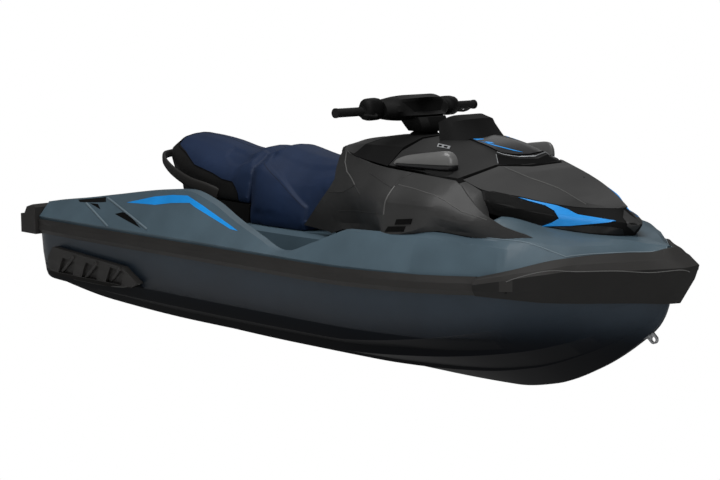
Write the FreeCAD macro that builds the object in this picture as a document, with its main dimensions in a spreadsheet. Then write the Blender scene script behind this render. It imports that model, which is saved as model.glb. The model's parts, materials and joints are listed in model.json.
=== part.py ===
"""Personal watercraft, three-seat, jet driven.

Millimetres. X runs from the stern (0) to the bow, Y to port, Z up from the keel.
Every sub-part's Placement then moves this frame to the waterline amidships.
"""
import FreeCAD, Part
import os
import math
import Sketcher
from FreeCAD import Vector, Placement, Rotation

SIZES = {
    # Overall form
    "length": 3450, "half_beam": 625, "draft": 260, "amidships": 1725, "transom": 90, "stem_top": 3340,
    "chine_height": 222, "edge_height": 135, "bond_height": 465, "joint_gap": 0.4,
    "corner_length": 182, "corner_inner": 470, "rail_depth": 26, "bumper_start": 2830,
    # Deck
    "platform_height": 505, "floor_height": 370, "pedestal_height": 556, "gunwale_peak_height": 714,
    "gunwale_dip_height": 525, "mat_thickness": 6,
    # Seats, the rear one on a plinth
    "seat_rear": 640, "seat_split": 1302, "seat_front": 1862, "seat_gap": 6, "seat_step": 84,
    "handle_height": 42, "handle_thickness": 17,
    # Front body and its panels
    "panel_thickness": 9, "side_thickness": 6, "shut_gap": 8, "lid_rear": 2272,
    "hinge_x": 2940, "hinge_z": 855, "hinge_pin": 6, "arm_width": 28,
    "bin_length": 380, "bin_half_width": 235, "bin_floor": 520, "bin_wall": 6,
    "glove_hinge_x": 1992, "glove_hinge_z": 965, "glove_pin": 2.5,
    # Steering
    "bar_x": 2030, "bar_height": 1088, "bar_half_span": 434, "bar_radius": 11,
    "grip_length": 158, "grip_radius": 17, "column_x": 2120, "column_height": 985, "column_tilt": 24,
    "column_radius": 14, "neck_radius": 62,
    # Jet drive
    "drive_height": 185, "pump_radius": 92, "pump_wall": 10, "pump_front": 720, "pump_length": 380,
    "impeller_radius": 76, "hub_radius": 30, "shaft_radius": 14,
    "nozzle_pivot": 300, "nozzle_length": 140, "nozzle_radius": 58, "nozzle_wall": 7,
    "pin_radius": 8, "pin_clearance": 0.08,
    "gate_pivot": 268, "gate_radius": 136, "gate_width": 196, "gate_wall": 7,
    "tunnel_half_width": 185, "tunnel_roof": 340, "tunnel_front": 720,
    "intake_front": 1180, "intake_half_width": 95,
    # Fittings
    "sponson_thickness": 34, "channel_depth": 14, "step_half_width": 205, "step_tube": 11, "step_hinge_x": 62,
    "step_hinge_z": 236, "step_height": 170, "eye_radius": 10, "eye_thickness": 12,
    "engine_length": 640, "engine_width": 400, "engine_floor": 110,
}

doc = FreeCAD.newDocument("watercraft")
sheet = doc.addObject("Spreadsheet::Sheet", "Sizes")
for row, (alias, value) in enumerate(SIZES.items(), start=1):
    sheet.set(f"A{row}", alias)
    sheet.set(f"B{row}", str(value))
    sheet.setAlias(f"B{row}", alias)
doc.recompute()


class Dim:
    """A length with the expression that binds it to the sheet."""

    def __init__(self, value, text):
        self.value = float(value)
        self.text = text

    def __add__(self, other):
        other = as_dim(other)
        return Dim(self.value + other.value, f"({self.text} + {other.text})")

    def __sub__(self, other):
        other = as_dim(other)
        return Dim(self.value - other.value, f"({self.text} - {other.text})")

    def __mul__(self, other):
        other = as_dim(other)
        return Dim(self.value * other.value, f"({self.text} * {other.text})")

    def __truediv__(self, other):
        other = as_dim(other)
        return Dim(self.value / other.value, f"({self.text} / {other.text})")

    def __rsub__(self, other):
        return as_dim(other) - self

    def __neg__(self):
        return as_dim(0) - self

    __radd__ = __add__
    __rmul__ = __mul__


def as_dim(value):
    if isinstance(value, Dim):
        return value
    return Dim(value, f"({value})" if value < 0 else str(value))


def size(alias):
    """The named size as a plain number."""
    return float(sheet.get(alias))


def dim(alias):
    """The named size as a bound length."""
    return Dim(size(alias), f"Sizes.{alias}")


class Named:
    """Sizes by name: S.length is a number."""

    def __getattr__(self, alias):
        return size(alias)


class Bound:
    """Sizes by name, bound to the sheet: B.length is a Dim."""

    def __getattr__(self, alias):
        return dim(alias)


S = Named()
B = Bound()

sub_parts = []


def seat_placement(obj):
    """Moves a sub-part from the keel frame to the waterline frame."""
    obj.setExpression("Placement.Base.x", "-Sizes.amidships")
    obj.setExpression("Placement.Base.z", "-Sizes.draft")


def feature(label, shape):
    """A sub-part whose shape comes from Part's own functions."""
    if len(shape.Solids) == 1:
        shape = shape.Solids[0]
    obj = doc.addObject("Part::Feature", label)
    obj.Label = label
    obj.Shape = shape
    seat_placement(obj)
    sub_parts.append(obj)
    return obj


def put(obj, label):
    """Names a finished object and keeps it as a sub-part."""
    obj.Label = label
    seat_placement(obj)
    sub_parts.append(obj)
    return obj


# Curves: monotone interpolation of a short table, so that nothing overshoots


def slopes(xs, ys):
    steps = [(ys[i + 1] - ys[i]) / (xs[i + 1] - xs[i]) for i in range(len(xs) - 1)]
    out = [steps[0]]
    for a, b, i in zip(steps, steps[1:], range(1, len(xs) - 1)):
        if a * b <= 0:
            out.append(0.0)
            continue
        left, right = xs[i] - xs[i - 1], xs[i + 1] - xs[i]
        w1, w2 = 2 * right + left, right + 2 * left
        out.append((w1 + w2) / (w1 / a + w2 / b))
    out.append(steps[-1])
    return out


def interpolate(xs, ys, x):
    if x <= xs[0]:
        return ys[0]
    if x >= xs[-1]:
        return ys[-1]
    i = max(k for k in range(len(xs) - 1) if xs[k] <= x)
    gap = xs[i + 1] - xs[i]
    t = (x - xs[i]) / gap
    m = slopes(xs, ys)
    h00 = (1 + 2 * t) * (1 - t) ** 2
    h10 = t * (1 - t) ** 2
    h01 = t * t * (3 - 2 * t)
    h11 = t * t * (t - 1)
    return h00 * ys[i] + h10 * gap * m[i] + h01 * ys[i + 1] + h11 * gap * m[i + 1]


def at(table, x):
    """The value of every column of a table of (x, a, b, ...) rows at x."""
    xs = [row[0] for row in table]
    return [interpolate(xs, [row[k] for row in table], x) for k in range(1, len(table[0]))]


def flat_faces(a, b, c, d):
    """One face for four corners in a plane, otherwise two triangles."""
    corners = []
    for point in (a, b, c, d):
        if not corners or (point - corners[-1]).Length > 0.01:
            corners.append(point)
    if (corners[-1] - corners[0]).Length < 0.01:
        corners.pop()
    if len(corners) < 3:
        return []
    pieces = [corners]
    if len(corners) == 4:
        normal = (corners[2] - corners[0]).cross(corners[3] - corners[1])
        if normal.Length < 0.01 or abs((corners[1] - corners[0]).dot(normal.normalize())) > 1e-7:
            if (corners[2] - corners[0]).Length < (corners[3] - corners[1]).Length:
                pieces = [corners[:3], [corners[2], corners[3], corners[0]]]
            else:
                pieces = [[corners[0], corners[1], corners[3]], corners[1:]]
    return [Part.Face(Part.makePolygon(piece + [piece[0]])) for piece in pieces]


def closed_solid(faces):
    shell = Part.makeShell(faces)
    shell.sewShape()
    solid = Part.Solid(shell)
    if solid.Volume < 0:
        solid.reverse()
    return solid


def skin(rings):
    """A ruled solid through closed rings of points, one ring at each station."""
    faces = []
    for ring, after in zip(rings, rings[1:]):
        count = len(ring)
        for j in range(count):
            k = (j + 1) % count
            faces += flat_faces(ring[j], ring[k], after[k], after[j])
    for ring in (rings[0], rings[-1]):
        closed = [point for i, point in enumerate(ring) if (point - ring[i - 1]).Length > 0.01]
        if len(closed) > 2:
            faces.append(Part.Face(Part.makePolygon(closed + [closed[0]])))
    return closed_solid(faces)


WIDE = S.half_beam / 625


def place(x, y, z):
    """A point of a table, whose Y is drawn for a half beam of 625 mm."""
    return Vector(x, y * WIDE, z)


def ring_at(x, half):
    """A cross-section ring at x from the (y, z) points of its port half."""
    mirrored = [(-y, z) for y, z in reversed(half) if y]
    return [place(x, y, z) for y, z in half + mirrored]


def prism(points, y0, y1):
    """A side-view outline of (x, z) points, extruded from y0 to y1."""
    corners = [Vector(x, y0, z) for x, z in points]
    face = Part.Face(Part.makePolygon(corners + [corners[0]]))
    return face.extrude(Vector(0, y1 - y0, 0))


def box(x0, x1, y0, y1, z0, z1):
    return Part.makeBox(x1 - x0, y1 - y0, z1 - z0, Vector(x0, y0, z0))


def mirror_y(shape):
    return shape.mirror(Vector(0, 0, 0), Vector(0, 1, 0))


def largest(shape):
    """The biggest solid left by a cut."""
    return max(shape.Solids, key=lambda solid: solid.Volume)


# Hull: guide lines along X, each row (x, y, z)

KEEL = [(S.transom, 60), (600, 34), (1150, 10), (1600, 0), (2300, 0), (2646, 8), (2844, 46), (3031, 134),
        (3208, 260), (3296, 350), (3329, 422), (S.stem_top, 482)]
EDGE = [(S.transom, 420, 196), (150, 455, 190), (220, 472, 182), (600, 482, 148),
        (1200, 490, S.edge_height), (2100, 470, S.edge_height + 5), (2500, 410, S.edge_height + 30),
        (2850, 290, S.edge_height + 80), (3100, 160, S.edge_height + 160), (3270, 58, 385),
        (S.stem_top, 7, 486)]
CHINE = [(S.transom, 502, 248), (150, 546, 242), (220, 563, 234), (600, 566, 225),
         (1200, 568, S.chine_height), (2100, 560, S.chine_height + 3), (2500, 515, S.chine_height + 43),
         (2850, 400, S.chine_height + 108), (3100, 235, S.chine_height + 168), (3280, 88, 446),
         (S.stem_top, 9, 494)]
BOND = [(0, 500, S.bond_height), (S.transom, 526, S.bond_height), (150, 572, S.bond_height),
        (220, 591, S.bond_height), (1200, 607, S.bond_height), (2100, 600, S.bond_height - 3),
        (2500, 573, S.bond_height + 7), (2838, 494, S.bond_height + 24), (2940, 447, S.bond_height + 32),
        (3062, 356, S.bond_height + 42), (3140, 274, 512), (3215, 180, 517), (3275, 100, 522),
        (3312, 46, 527), (S.stem_top, 12, 530)]
TROUGH = [(S.transom, 80, 452), (600, 80, 452), (720, 84, 420), (980, 96, 345), (2060, 96, 345),
          (2200, 96, 362), (2330, 90, 440), (2480, 60, 468), (2850, 50, 486), (3300, 24, 520),
          (S.stem_top, 6, 528)]
STATIONS = [22, S.transom, 150, 220, 300, 400, 500, 575, 640, 720, 800, 890, 980, 1085, 1190, 1300, 1400,
            1525, 1700, 1770, 1850, 1950, 2060, 2130, 2200, 2260, 2330, 2400, 2480, 2560, 2640, 2700,
            2740, 2800, 2850, 2900, 2960, 3020, 3062, 3090, 3140, 3200, 3228, 3275, 3312, 3322,
            S.stem_top]


def hull_half(x):
    keel = at(KEEL, x)[0]
    edge_y, edge_z = at(EDGE, x)
    chine_y, chine_z = at(CHINE, x)
    bond_y, bond_z = at(BOND, x)
    fade = max(0.0, min(1.0, (3300 - x) / 900.0))
    strake_y = edge_y * 0.56
    strake_z = keel + (edge_z - keel) * 0.56
    side_y = chine_y + (bond_y - chine_y) * 0.62
    side_z = chine_z + (bond_z - chine_z) * 0.42
    trough_in, trough_z = at(TROUGH, x)
    return [
        (min(14, edge_y * 0.3), keel), (strake_y - 16 * fade, strake_z - 2 * fade),
        (strake_y, strake_z - 12 * fade), (strake_y + 8 * fade + 0.5, strake_z + 4 * fade + 0.5),
        (edge_y, edge_z), (edge_y + 14 * fade + 0.5, edge_z + 34 * fade + 0.5),
        (chine_y - 8 * fade, chine_z - 20 * fade), (chine_y, chine_z), (side_y, side_z),
        (bond_y, bond_z), (bond_y - 20 * fade - 4, bond_z), (bond_y - trough_in, trough_z),
    ]


def make_hull():
    hull = skin([ring_at(x, hull_half(x)) for x in STATIONS if S.transom <= x <= S.stem_top])
    tunnel = box(S.transom - 10, S.tunnel_front, -S.tunnel_half_width, S.tunnel_half_width,
                 -20, S.tunnel_roof)
    intake = prism([(S.tunnel_front - 30, -40), (S.tunnel_front - 30, 265), (S.tunnel_front + 60, 270),
                    (S.intake_front, -10), (S.intake_front + 10, -40)],
                   -S.intake_half_width, S.intake_half_width)
    shaft_hole = rod((S.tunnel_front - 20, 0, S.drive_height), (S.tunnel_front + 480, 0, S.drive_height),
                     S.shaft_radius + S.pin_clearance)
    return hull.cut([tunnel, intake, shaft_hole, engine_bay()])


def engine_bay():
    half = S.engine_width / 2 + 30
    front = S.intake_front + S.engine_length + 60
    return box(S.intake_front + 20, front, -half, half, S.engine_floor, S.pedestal_height - 40)


def make_engine():
    half = S.engine_width / 2
    rear = S.intake_front + 50
    return box(rear, rear + S.engine_length, -half, half, S.engine_floor, S.pedestal_height - 46)


# Deck: guide lines along X from the side to the centre line, each row (x, y, z)

PEAK = S.gunwale_peak_height
DIP = S.gunwale_dip_height
PLAT = S.platform_height
FLOOR = S.floor_height
SEAT = S.pedestal_height
REAR_BASE = S.pedestal_height + S.seat_step
DECK_SIDE = [(22, 560, 515), (180, 603, 520), (1200, 611, 520), (2100, 605, 512), (2500, 573, 518),
             (2838, 495, 530), (2945, 452, 560), (3075, 348, 600), (3158, 243, 614), (3228, 146, 618),
             (3283, 74, 621), (3322, 18, 635)]
GUNWALE_OUT = [(22, 535, PLAT + 55), (180, 545, PLAT + 80), (400, 528, PLAT + 108),
               (600, 515, PLAT + 138), (1000, 508, PEAK - 15), (1190, 506, PEAK), (1350, 512, PEAK - 34),
               (1525, 532, PEAK - 98), (1700, 562, DIP + 42), (1850, 575, DIP), (2050, 560, DIP + 62),
               (2200, 538, 640), (2330, 525, 645), (2500, 510, 648), (2720, 488, 644), (2850, 455, 637),
               (2960, 412, 626), (3090, 324, 611), (3200, 176, 626), (3270, 80, 624), (3322, 12, 640)]
GUNWALE_IN = [(22, 470, PLAT + 55), (180, 470, PLAT + 82), (400, 455, PLAT + 111), (600, 448, PLAT + 141),
              (1000, 455, PEAK - 12), (1190, 462, PEAK + 3), (1350, 470, PEAK - 30), (1525, 492, PEAK - 95),
              (1700, 525, DIP + 44), (1850, 540, DIP + 2), (2050, 532, DIP + 64), (2200, 512, 646),
              (2330, 505, 650), (2500, 486, 656), (2600, 462, 668), (2800, 414, 652), (2960, 384, 662),
              (3090, 290, 646), (3200, 150, 648), (3270, 60, 640), (3322, 8, 642)]
FLOOR_OUT = [(22, 452, PLAT), (575, 426, PLAT), (720, 424, PLAT - 35), (980, 432, FLOOR + 8),
             (1190, 438, FLOOR), (1525, 462, FLOOR), (1850, 505, FLOOR), (2060, 500, FLOOR),
             (2200, 480, FLOOR + 20), (2330, 470, 560), (2480, 460, 640), (2700, 400, 640),
             (2800, 376, 700), (2960, 300, 690), (3090, 200, 668), (3200, 110, 664), (3270, 44, 648),
             (3322, 6, 643)]
FLOOR_IN = [(22, 180, PLAT), (575, 240, PLAT), (720, 262, PLAT - 35), (980, 284, FLOOR + 8),
            (1190, 300, FLOOR), (1525, 322, FLOOR), (1850, 330, FLOOR), (2060, 335, FLOOR),
            (2200, 345, FLOOR + 20), (2330, 362, 560), (2480, 430, 640), (2700, 380, 640),
            (2800, 350, 726), (2960, 236, 694), (3090, 128, 670), (3200, 60, 660), (3270, 26, 650),
            (3322, 4, 643)]
SHOULDER = [(22, 170, PLAT), (575, 226, PLAT), (640, 226, SEAT - 14), (720, 250, SEAT - 14),
            (980, 272, SEAT - 14), (1190, 284, SEAT - 16), (1525, 304, SEAT - 16), (1850, 312, SEAT - 14),
            (2060, 318, SEAT - 8), (2200, 330, SEAT + 8), (2330, 345, SEAT + 20), (2480, 400, 640),
            (2700, 350, 640), (2800, 330, 732), (2960, 200, 696), (3090, 96, 671), (3200, 36, 660),
            (3270, 16, 651), (3322, 2, 643)]
TOP = [(22, 140, PLAT), (575, 200, PLAT), (640, 210, SEAT), (720, 234, SEAT), (980, 258, SEAT),
       (1190, 270, SEAT), (1525, 280, SEAT), (1850, 286, SEAT), (2060, 290, SEAT), (2200, 300, SEAT + 14),
       (2330, 310, SEAT + 30), (2480, 360, 640), (2700, 320, 640), (2800, 300, 734), (2960, 160, 697),
       (3090, 60, 672), (3200, 18, 661), (3270, 8, 652), (3322, 1, 643)]
DECK_LINES = [DECK_SIDE, GUNWALE_OUT, GUNWALE_IN, FLOOR_OUT, FLOOR_IN, SHOULDER, TOP]


def deck_half(x):
    bond_y, bond_z = at(BOND, x)
    trough_in, trough_z = at(TROUGH, x)
    fade = max(0.0, min(1.0, (3300 - x) / 900.0))
    gap = S.joint_gap
    under = [(bond_y - trough_in - gap, trough_z + gap), (bond_y - 20 * fade - 4 - gap, bond_z + gap),
             (bond_y, bond_z + gap)]
    return under + [tuple(at(line, x)) for line in DECK_LINES]


def make_deck():
    deck = skin([ring_at(x, deck_half(x)) for x in STATIONS if x <= 3322])
    bin_rear = S.lid_rear + 60
    well = box(bin_rear, bin_rear + S.bin_length, -S.bin_half_width, S.bin_half_width, S.bin_floor, 900)
    corner = box(-10, S.corner_length + 3, S.corner_inner - 3, 700, 300, 700)
    return deck.cut([well, engine_bay(), corner, mirror_y(corner)])


# Panels: a strip for each pair of neighbouring guide lines, given thickness inwards


def guide(table, xs):
    """Points of a guide line given as rows of (x, y, z), at the stations xs."""
    return [place(x, *at(table, x)) for x in xs]


def inward(lines, thickness):
    """The same guide lines set in by a thickness, square to the surface."""
    inner = []
    for j, line in enumerate(lines):
        row = []
        for i, point in enumerate(line):
            along = line[min(i + 1, len(line) - 1)] - line[max(i - 1, 0)]
            across = lines[min(j + 1, len(lines) - 1)][i] - lines[max(j - 1, 0)][i]
            normal = along.cross(across)
            normal.normalize()
            row.append(point + normal * thickness)
        inner.append(row)
    return inner


def panel(lines, thickness):
    """A thin solid through guide lines; a negative thickness goes to the other side."""
    inner = inward(lines, thickness)
    faces = []
    count = len(lines[0])
    for rows in (lines, inner):
        for low, high in zip(rows, rows[1:]):
            for i in range(count - 1):
                faces += flat_faces(low[i], low[i + 1], high[i + 1], high[i])
    for j in (0, -1):
        for i in range(count - 1):
            faces += flat_faces(lines[j][i], lines[j][i + 1], inner[j][i + 1], inner[j][i])
    for j in range(len(lines) - 1):
        for i in (0, -1):
            faces += flat_faces(lines[j][i], lines[j + 1][i], inner[j + 1][i], inner[j][i])
    return closed_solid(faces)


def through(points, count):
    """Evenly stepped points along a line given by a few (x, y, z) points."""
    table = [(float(i), *point) for i, point in enumerate(points)]
    return [place(*at(table, t)) for t in stations(0, len(points) - 1, count)]


def both_sides(lines):
    """Guide lines from starboard over the centre to port; the last one given lies on the centre line."""
    starboard = [[Vector(p.x, -p.y, p.z) for p in line] for line in lines]
    return starboard + [list(line) for line in reversed(lines[:-1])]


def stations(x0, x1, count):
    return [x0 + (x1 - x0) * i / (count - 1) for i in range(count)]


SHUT = [(1640, 257, 796), (1805, 271, 874), (1930, 293, 920), (2015, 310, 904), (2310, 388, 878),
        (2620, 381, 856), (2700, 394, 795), (2780, 404, 743), (2900, 384, 694), (3000, 334, 678)]
WAIST = [(1640, 290, 680), (1800, 308, 700), (2000, 350, 752), (2200, 436, 760), (2350, 486, 757),
         (2550, 486, 752), (2680, 456, 722), (2780, 418, 702), (2900, 386, 676), (3000, 335, 676)]
LOW = [(1640, 285, 575), (1900, 312, 600), (2070, 350, 612), (2200, 410, 624), (2350, 480, 638),
       (2420, 500, 642), (2540, 478, 674), (2600, 458, 683), (2800, 408, 664), (2900, 386, 664),
       (3000, 336, 670)]
SEAT_FRONT = [(1610, 480), (1655, 572), (1812, 716), (1868, 792), (1812, 872), (1760, 960)]


def make_side_panel():
    xs = stations(1640, 2360, 10)[:-1] + stations(2360, 3000, 10)
    body = panel([guide(LOW, xs), guide(WAIST, xs), guide(SHUT, xs)], S.side_thickness)
    behind = [(x + S.seat_gap, z) for x, z in SEAT_FRONT] + [(1500, 960), (1500, 480)]
    body = body.cut(prism(behind, 0, 700))
    slots = prism([(2395, 676), (2470, 696), (2474, 686), (2399, 664)], 400, 600)
    slots = slots.fuse(prism([(2360, 656), (2418, 672), (2422, 662), (2364, 646)], 400, 600))
    return body.cut(slots)


CONSOLE_EDGE = [(1760, 262, 858), (1805, 270, 880), (1930, 292, 926), (2015, 308, 910), (2262, 376, 889)]
CONSOLE_SHOULDER = [(1760, 205, 892), (1930, 240, 945), (2015, 248, 952), (2262, 282, 958)]
CONSOLE_TOP = [(1760, 110, 902), (1930, 145, 962), (2015, 155, 975), (2262, 172, 990)]
CONSOLE_MID = [(1760, 0, 906), (1930, 0, 966), (2015, 0, 980), (2262, 0, 996)]


def make_console():
    xs = stations(1800, S.lid_rear - S.shut_gap, 8)
    lines = [guide(line, xs) for line in (CONSOLE_EDGE, CONSOLE_SHOULDER, CONSOLE_TOP, CONSOLE_MID)]
    return panel(both_sides(lines), -S.panel_thickness)


# Lid and front cover: lines from rear to front; each ends on the lid's pointed front edge

LID_EDGE = [(2272, 376, 893), (2340, 371, 887), (2430, 363, 878), (2530, 354, 868), (2600, 346, 862)]
LID_SHOULDER = [(2272, 300, 944), (2360, 292, 944), (2470, 268, 934), (2570, 232, 920), (2664, 196, 908)]
LID_TOP = [(2272, 176, 984), (2400, 165, 984), (2520, 146, 964), (2640, 118, 934), (2748, 98, 908)]
LID_MID = [(2272, 0, 996), (2450, 0, 1000), (2600, 0, 986), (2720, 0, 956), (2828, 0, 920)]


def make_lid():
    lines = [through(line, 13) for line in (LID_EDGE, LID_SHOULDER, LID_TOP, LID_MID)]
    skin_part = panel(both_sides(lines), -S.panel_thickness)
    x, z = S.hinge_x, S.hinge_z
    half = S.arm_width / 2
    outline = [(x - 178, z + 83), (x - 176, z - 55), (x - 114, z - 105), (x - 6, z - 55), (x + 12, z),
               (x - 12, z), (x - 26, z - 39), (x - 108, z - 79), (x - 156, z - 43), (x - 158, z + 79)]
    arm = prism(outline, -half, half)
    boss = rod((x, -half, z), (x, half, z), 12)
    bore = rod((x, -half * 2, z), (x, half * 2, z), S.hinge_pin + S.pin_clearance)
    return skin_part.fuse([arm, boss]).cut(bore).removeSplitter()


HOOD_REAR = [(2626, 344, 859), (2680, 197, 904), (2764, 96, 901), (2844, 0, 916)]
HOOD_EDGE = [HOOD_REAR[0], (2715, 340, 829), (2841, 267, 806), (2946, 202, 782), (3038, 100, 766),
             (3122, 8, 763)]
HOOD_CREASE = [HOOD_REAR[1], (2760, 178, 882), (2850, 165, 853), (2940, 130, 820), (3031, 82, 778),
               (3126, 6, 765)]
HOOD_SPINE = [HOOD_REAR[2], (2832, 60, 898), (2918, 44, 874), (3011, 36, 836), (3080, 20, 798),
              (3132, 4, 768)]
HOOD_MID = [HOOD_REAR[3], (2884, 0, 905), (2950, 0, 882), (3011, 0, 856), (3085, 0, 812), (3138, 0, 770)]


def make_hood():
    """The front cover, with two lugs moulded under it and the pin on which the lid's arm turns."""
    lines = both_sides([through(line, 16) for line in (HOOD_EDGE, HOOD_CREASE, HOOD_SPINE, HOOD_MID)])
    x, z = S.hinge_x, S.hinge_z
    near = S.arm_width / 2 + 4
    far = near + 8
    lugs = []
    for turn in (1, -1):
        y0, y1 = sorted((turn * near, turn * far))
        lugs.append(prism([(x - 12, z), (x + 12, z), (x + 22, z + 40), (x - 22, z + 40)], y0, y1))
        lugs.append(rod((x, y0, z), (x, y1, z), 12))
    above = panel(inward(lines, -S.panel_thickness / 2), 60)
    lugs = lugs[0].fuse(lugs[1:]).cut(above)
    pin_rod = rod((x, -far, z), (x, far, z), S.hinge_pin)
    return panel(lines, -S.panel_thickness).fuse(lugs.Solids + [pin_rod]).removeSplitter()


NOSE_LOW = [(2740, 345, 747), (2819, 300, 724), (2948, 225, 694), (3060, 130, 674), (3135, 50, 662),
            (3158, 0, 660)]
NOSE_CREASE = [(2735, 350, 790), (2835, 302, 766), (2962, 218, 738), (3072, 114, 722), (3166, 40, 712),
               (3194, 0, 704)]
NOSE_TOP = [(2715, 340, 821), (2841, 266, 798), (2946, 200, 774), (3038, 98, 758), (3110, 16, 755),
            (3124, 0, 755)]


def make_nose():
    rows = []
    for row in (NOSE_LOW, NOSE_CREASE, NOSE_TOP):
        half = through(row, 14)
        rows.append([Vector(p.x, -p.y, p.z) for p in half] + half[-2::-1])
    return panel(rows, S.panel_thickness)


# Rails and bumpers: rings of guide lines closed round a cross-section


def bar(lines):
    """A solid through guide lines that ring a cross-section, capped at both ends."""
    return skin([[line[i] for line in lines] for i in range(len(lines[0]))])


def make_rail():
    ring = [[] for _ in range(6)]
    for x in stations(S.corner_length + 6, S.bumper_start, 24):
        bond_y, bond_z = at(BOND, x)
        side_y = at(DECK_SIDE, x)[0]
        out = bond_y + S.rail_depth
        profile = [(bond_y - 4, bond_z - 27), (bond_y + 14, bond_z - 27), (out, bond_z - 8),
                   (out - 3, bond_z + 18), (side_y + 10, bond_z + 43), (side_y - 4, bond_z + 40)]
        for line, (y, z) in zip(ring, profile):
            line.append(place(x, y, z))
    return bar(ring)


# Bow bumper: each line as rows of (x, y, z), starboard rear end to the centre line

BUMPER = [
    [(2838, 497, 466), (2940, 450, 468), (3062, 359, 470), (3140, 277, 470), (3215, 183, 470),
     (3275, 103, 470), (3314, 50, 468), (3347, 0, 466)],
    [(2838, 498, 506), (2940, 452, 522), (3062, 360, 534), (3140, 278, 538), (3215, 184, 540),
     (3275, 104, 542), (3316, 50, 544), (3347, 0, 544)],
    [(2838, 500, 520), (2943, 456, 546), (3070, 358, 560), (3150, 262, 566), (3222, 168, 570),
     (3280, 88, 574), (3320, 26, 576), (3331, 0, 576)],
    [(2838, 500, 528), (2945, 456, 559), (3075, 351, 601), (3158, 246, 615), (3228, 149, 619),
     (3283, 77, 622), (3325, 20, 636), (3331, 0, 638)],
    [(2838, 512, 532), (2952, 468, 564), (3082, 358, 606), (3166, 254, 620), (3236, 156, 625),
     (3292, 84, 625), (3338, 24, 638), (3346, 0, 641)],
    [(2838, 536, 524), (2946, 492, 548), (3074, 412, 574), (3136, 334, 588), (3234, 228, 598),
     (3308, 140, 600), (3378, 56, 604), (3404, 0, 606)],
    [(2838, 545, 505), (2946, 500, 528), (3072, 426, 556), (3140, 340, 566), (3240, 236, 566),
     (3330, 132, 570), (3424, 44, 578), (S.length, 0, 586)],
    [(2838, 542, 482), (2946, 498, 488), (3070, 422, 496), (3138, 336, 506), (3236, 230, 510),
     (3322, 126, 514), (3408, 44, 528), (3432, 0, 530)],
    [(2838, 528, 462), (2944, 486, 458), (3064, 402, 448), (3140, 318, 444), (3218, 222, 442),
     (3282, 128, 438), (3352, 46, 434), (3376, 0, 434)],
]


def make_bow_bumper():
    ring = []
    for row in BUMPER:
        half = through(row, 15)
        ring.append([Vector(p.x, -p.y, p.z) for p in half] + half[-2::-1])
    return bar(ring)


def make_stern_corner():
    side = [(0, 433), (0, 462), (16, 500), (56, 524), (86, 522), (112, 562), (166, 577),
            (S.corner_length, 562), (S.corner_length, 433)]
    beam = S.half_beam
    block = prism(side, S.corner_inner, beam)
    corner = [Vector(-1, beam + 1, 400), Vector(-1, beam - 60, 400), Vector(60, beam + 1, 400)]
    chamfer = Part.Face(Part.makePolygon(corner + [corner[0]])).extrude(Vector(0, 0, 200))
    return block.cut(chamfer)


def make_sponson():
    """A plate on the hull's side with three slanting channels in its outer face."""
    outline = [(240, 245), (262, 333), (310, 384), (860, 351), (960, 286), (900, 258), (730, 243)]
    xs = stations(200, 1000, 6)
    lines = []
    for z in (238, 324, 400):
        line = []
        for x in xs:
            chine_y, chine_z = at(CHINE, x)
            bond_y, bond_z = at(BOND, x)
            side_y = chine_y + (bond_y - chine_y) * 0.62
            side_z = chine_z + (bond_z - chine_z) * 0.42
            y = interpolate([chine_z, side_z, bond_z], [chine_y, side_y, bond_y], z)
            line.append(place(x, y - 1.5, z))
        lines.append(line)
    inner, outer = S.half_beam * 0.6, S.half_beam * 1.3
    plate = panel(lines, -S.sponson_thickness).common(prism(outline, inner, outer))
    outside = panel(inward(lines, S.channel_depth - S.sponson_thickness), -S.sponson_thickness)
    channels = []
    for x in (330, 520, 710):
        slant = prism([(x, 262), (x + 120, 262), (x + 160, 330), (x + 60, 340)], inner, outer)
        channels.append(slant.common(outside))
    return plate.cut(channels)


# Seats: each row gives x, then the half width at the base, middle and shoulder, then the heights above the
# base of the middle, shoulder, crown edge and centre

REAR_SEAT = [
    (S.seat_rear, 150, 158, 130, 90, 165, 210, 232), (690, 178, 190, 162, 95, 192, 240, 258),
    (780, 196, 208, 186, 100, 192, 236, 257), (900, 214, 224, 196, 100, 172, 216, 243),
    (1040, 232, 236, 208, 90, 146, 191, 216), (1150, 240, 240, 212, 82, 138, 184, 206),
    (1220, 246, 244, 214, 80, 156, 206, 230), (S.seat_split - 4, 250, 246, 214, 80, 166, 218, 242),
]
FRONT_SEAT = [
    (S.seat_split + 4, 262, 252, 214, 164, 250, 302, 326), (1345, 266, 256, 214, 156, 254, 308, 330),
    (1420, 272, 260, 208, 144, 232, 290, 321), (1500, 275, 258, 202, 134, 212, 268, 305),
    (1600, 272, 250, 198, 134, 202, 252, 287), (1700, 266, 242, 198, 144, 212, 256, 282),
    (1800, 262, 236, 196, 164, 234, 270, 288), (S.seat_front, 256, 228, 186, 184, 244, 274, 286),
]


def seat_half(table, x, base):
    base_y, mid_y, shoulder_y, mid_z, shoulder_z, crown_z, top_z = at(table, x)
    heights = [(base_y, 0), (base_y + 4, 24), (mid_y, mid_z), ((mid_y + shoulder_y) / 2 + 4, shoulder_z -
               24), (shoulder_y, shoulder_z), (shoulder_y * 0.62, crown_z), (shoulder_y * 0.3, top_z - 5),
               (0, top_z)]
    return [(y, base + z) for y, z in heights]


def make_seat(table, base):
    return skin([ring_at(x, seat_half(table, x, base)) for x in stations(table[0][0], table[-1][0], 13)])


PLINTH = [(664, 168, 176), (800, 190, 200), (960, 214, 236), (1120, 232, 250), (S.seat_split - 4, 240, 252)]


def make_seat_base():
    return skin([ring_at(x, [(low_y, SEAT), (top_y, REAR_BASE)]) for x, top_y, low_y in PLINTH])


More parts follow.
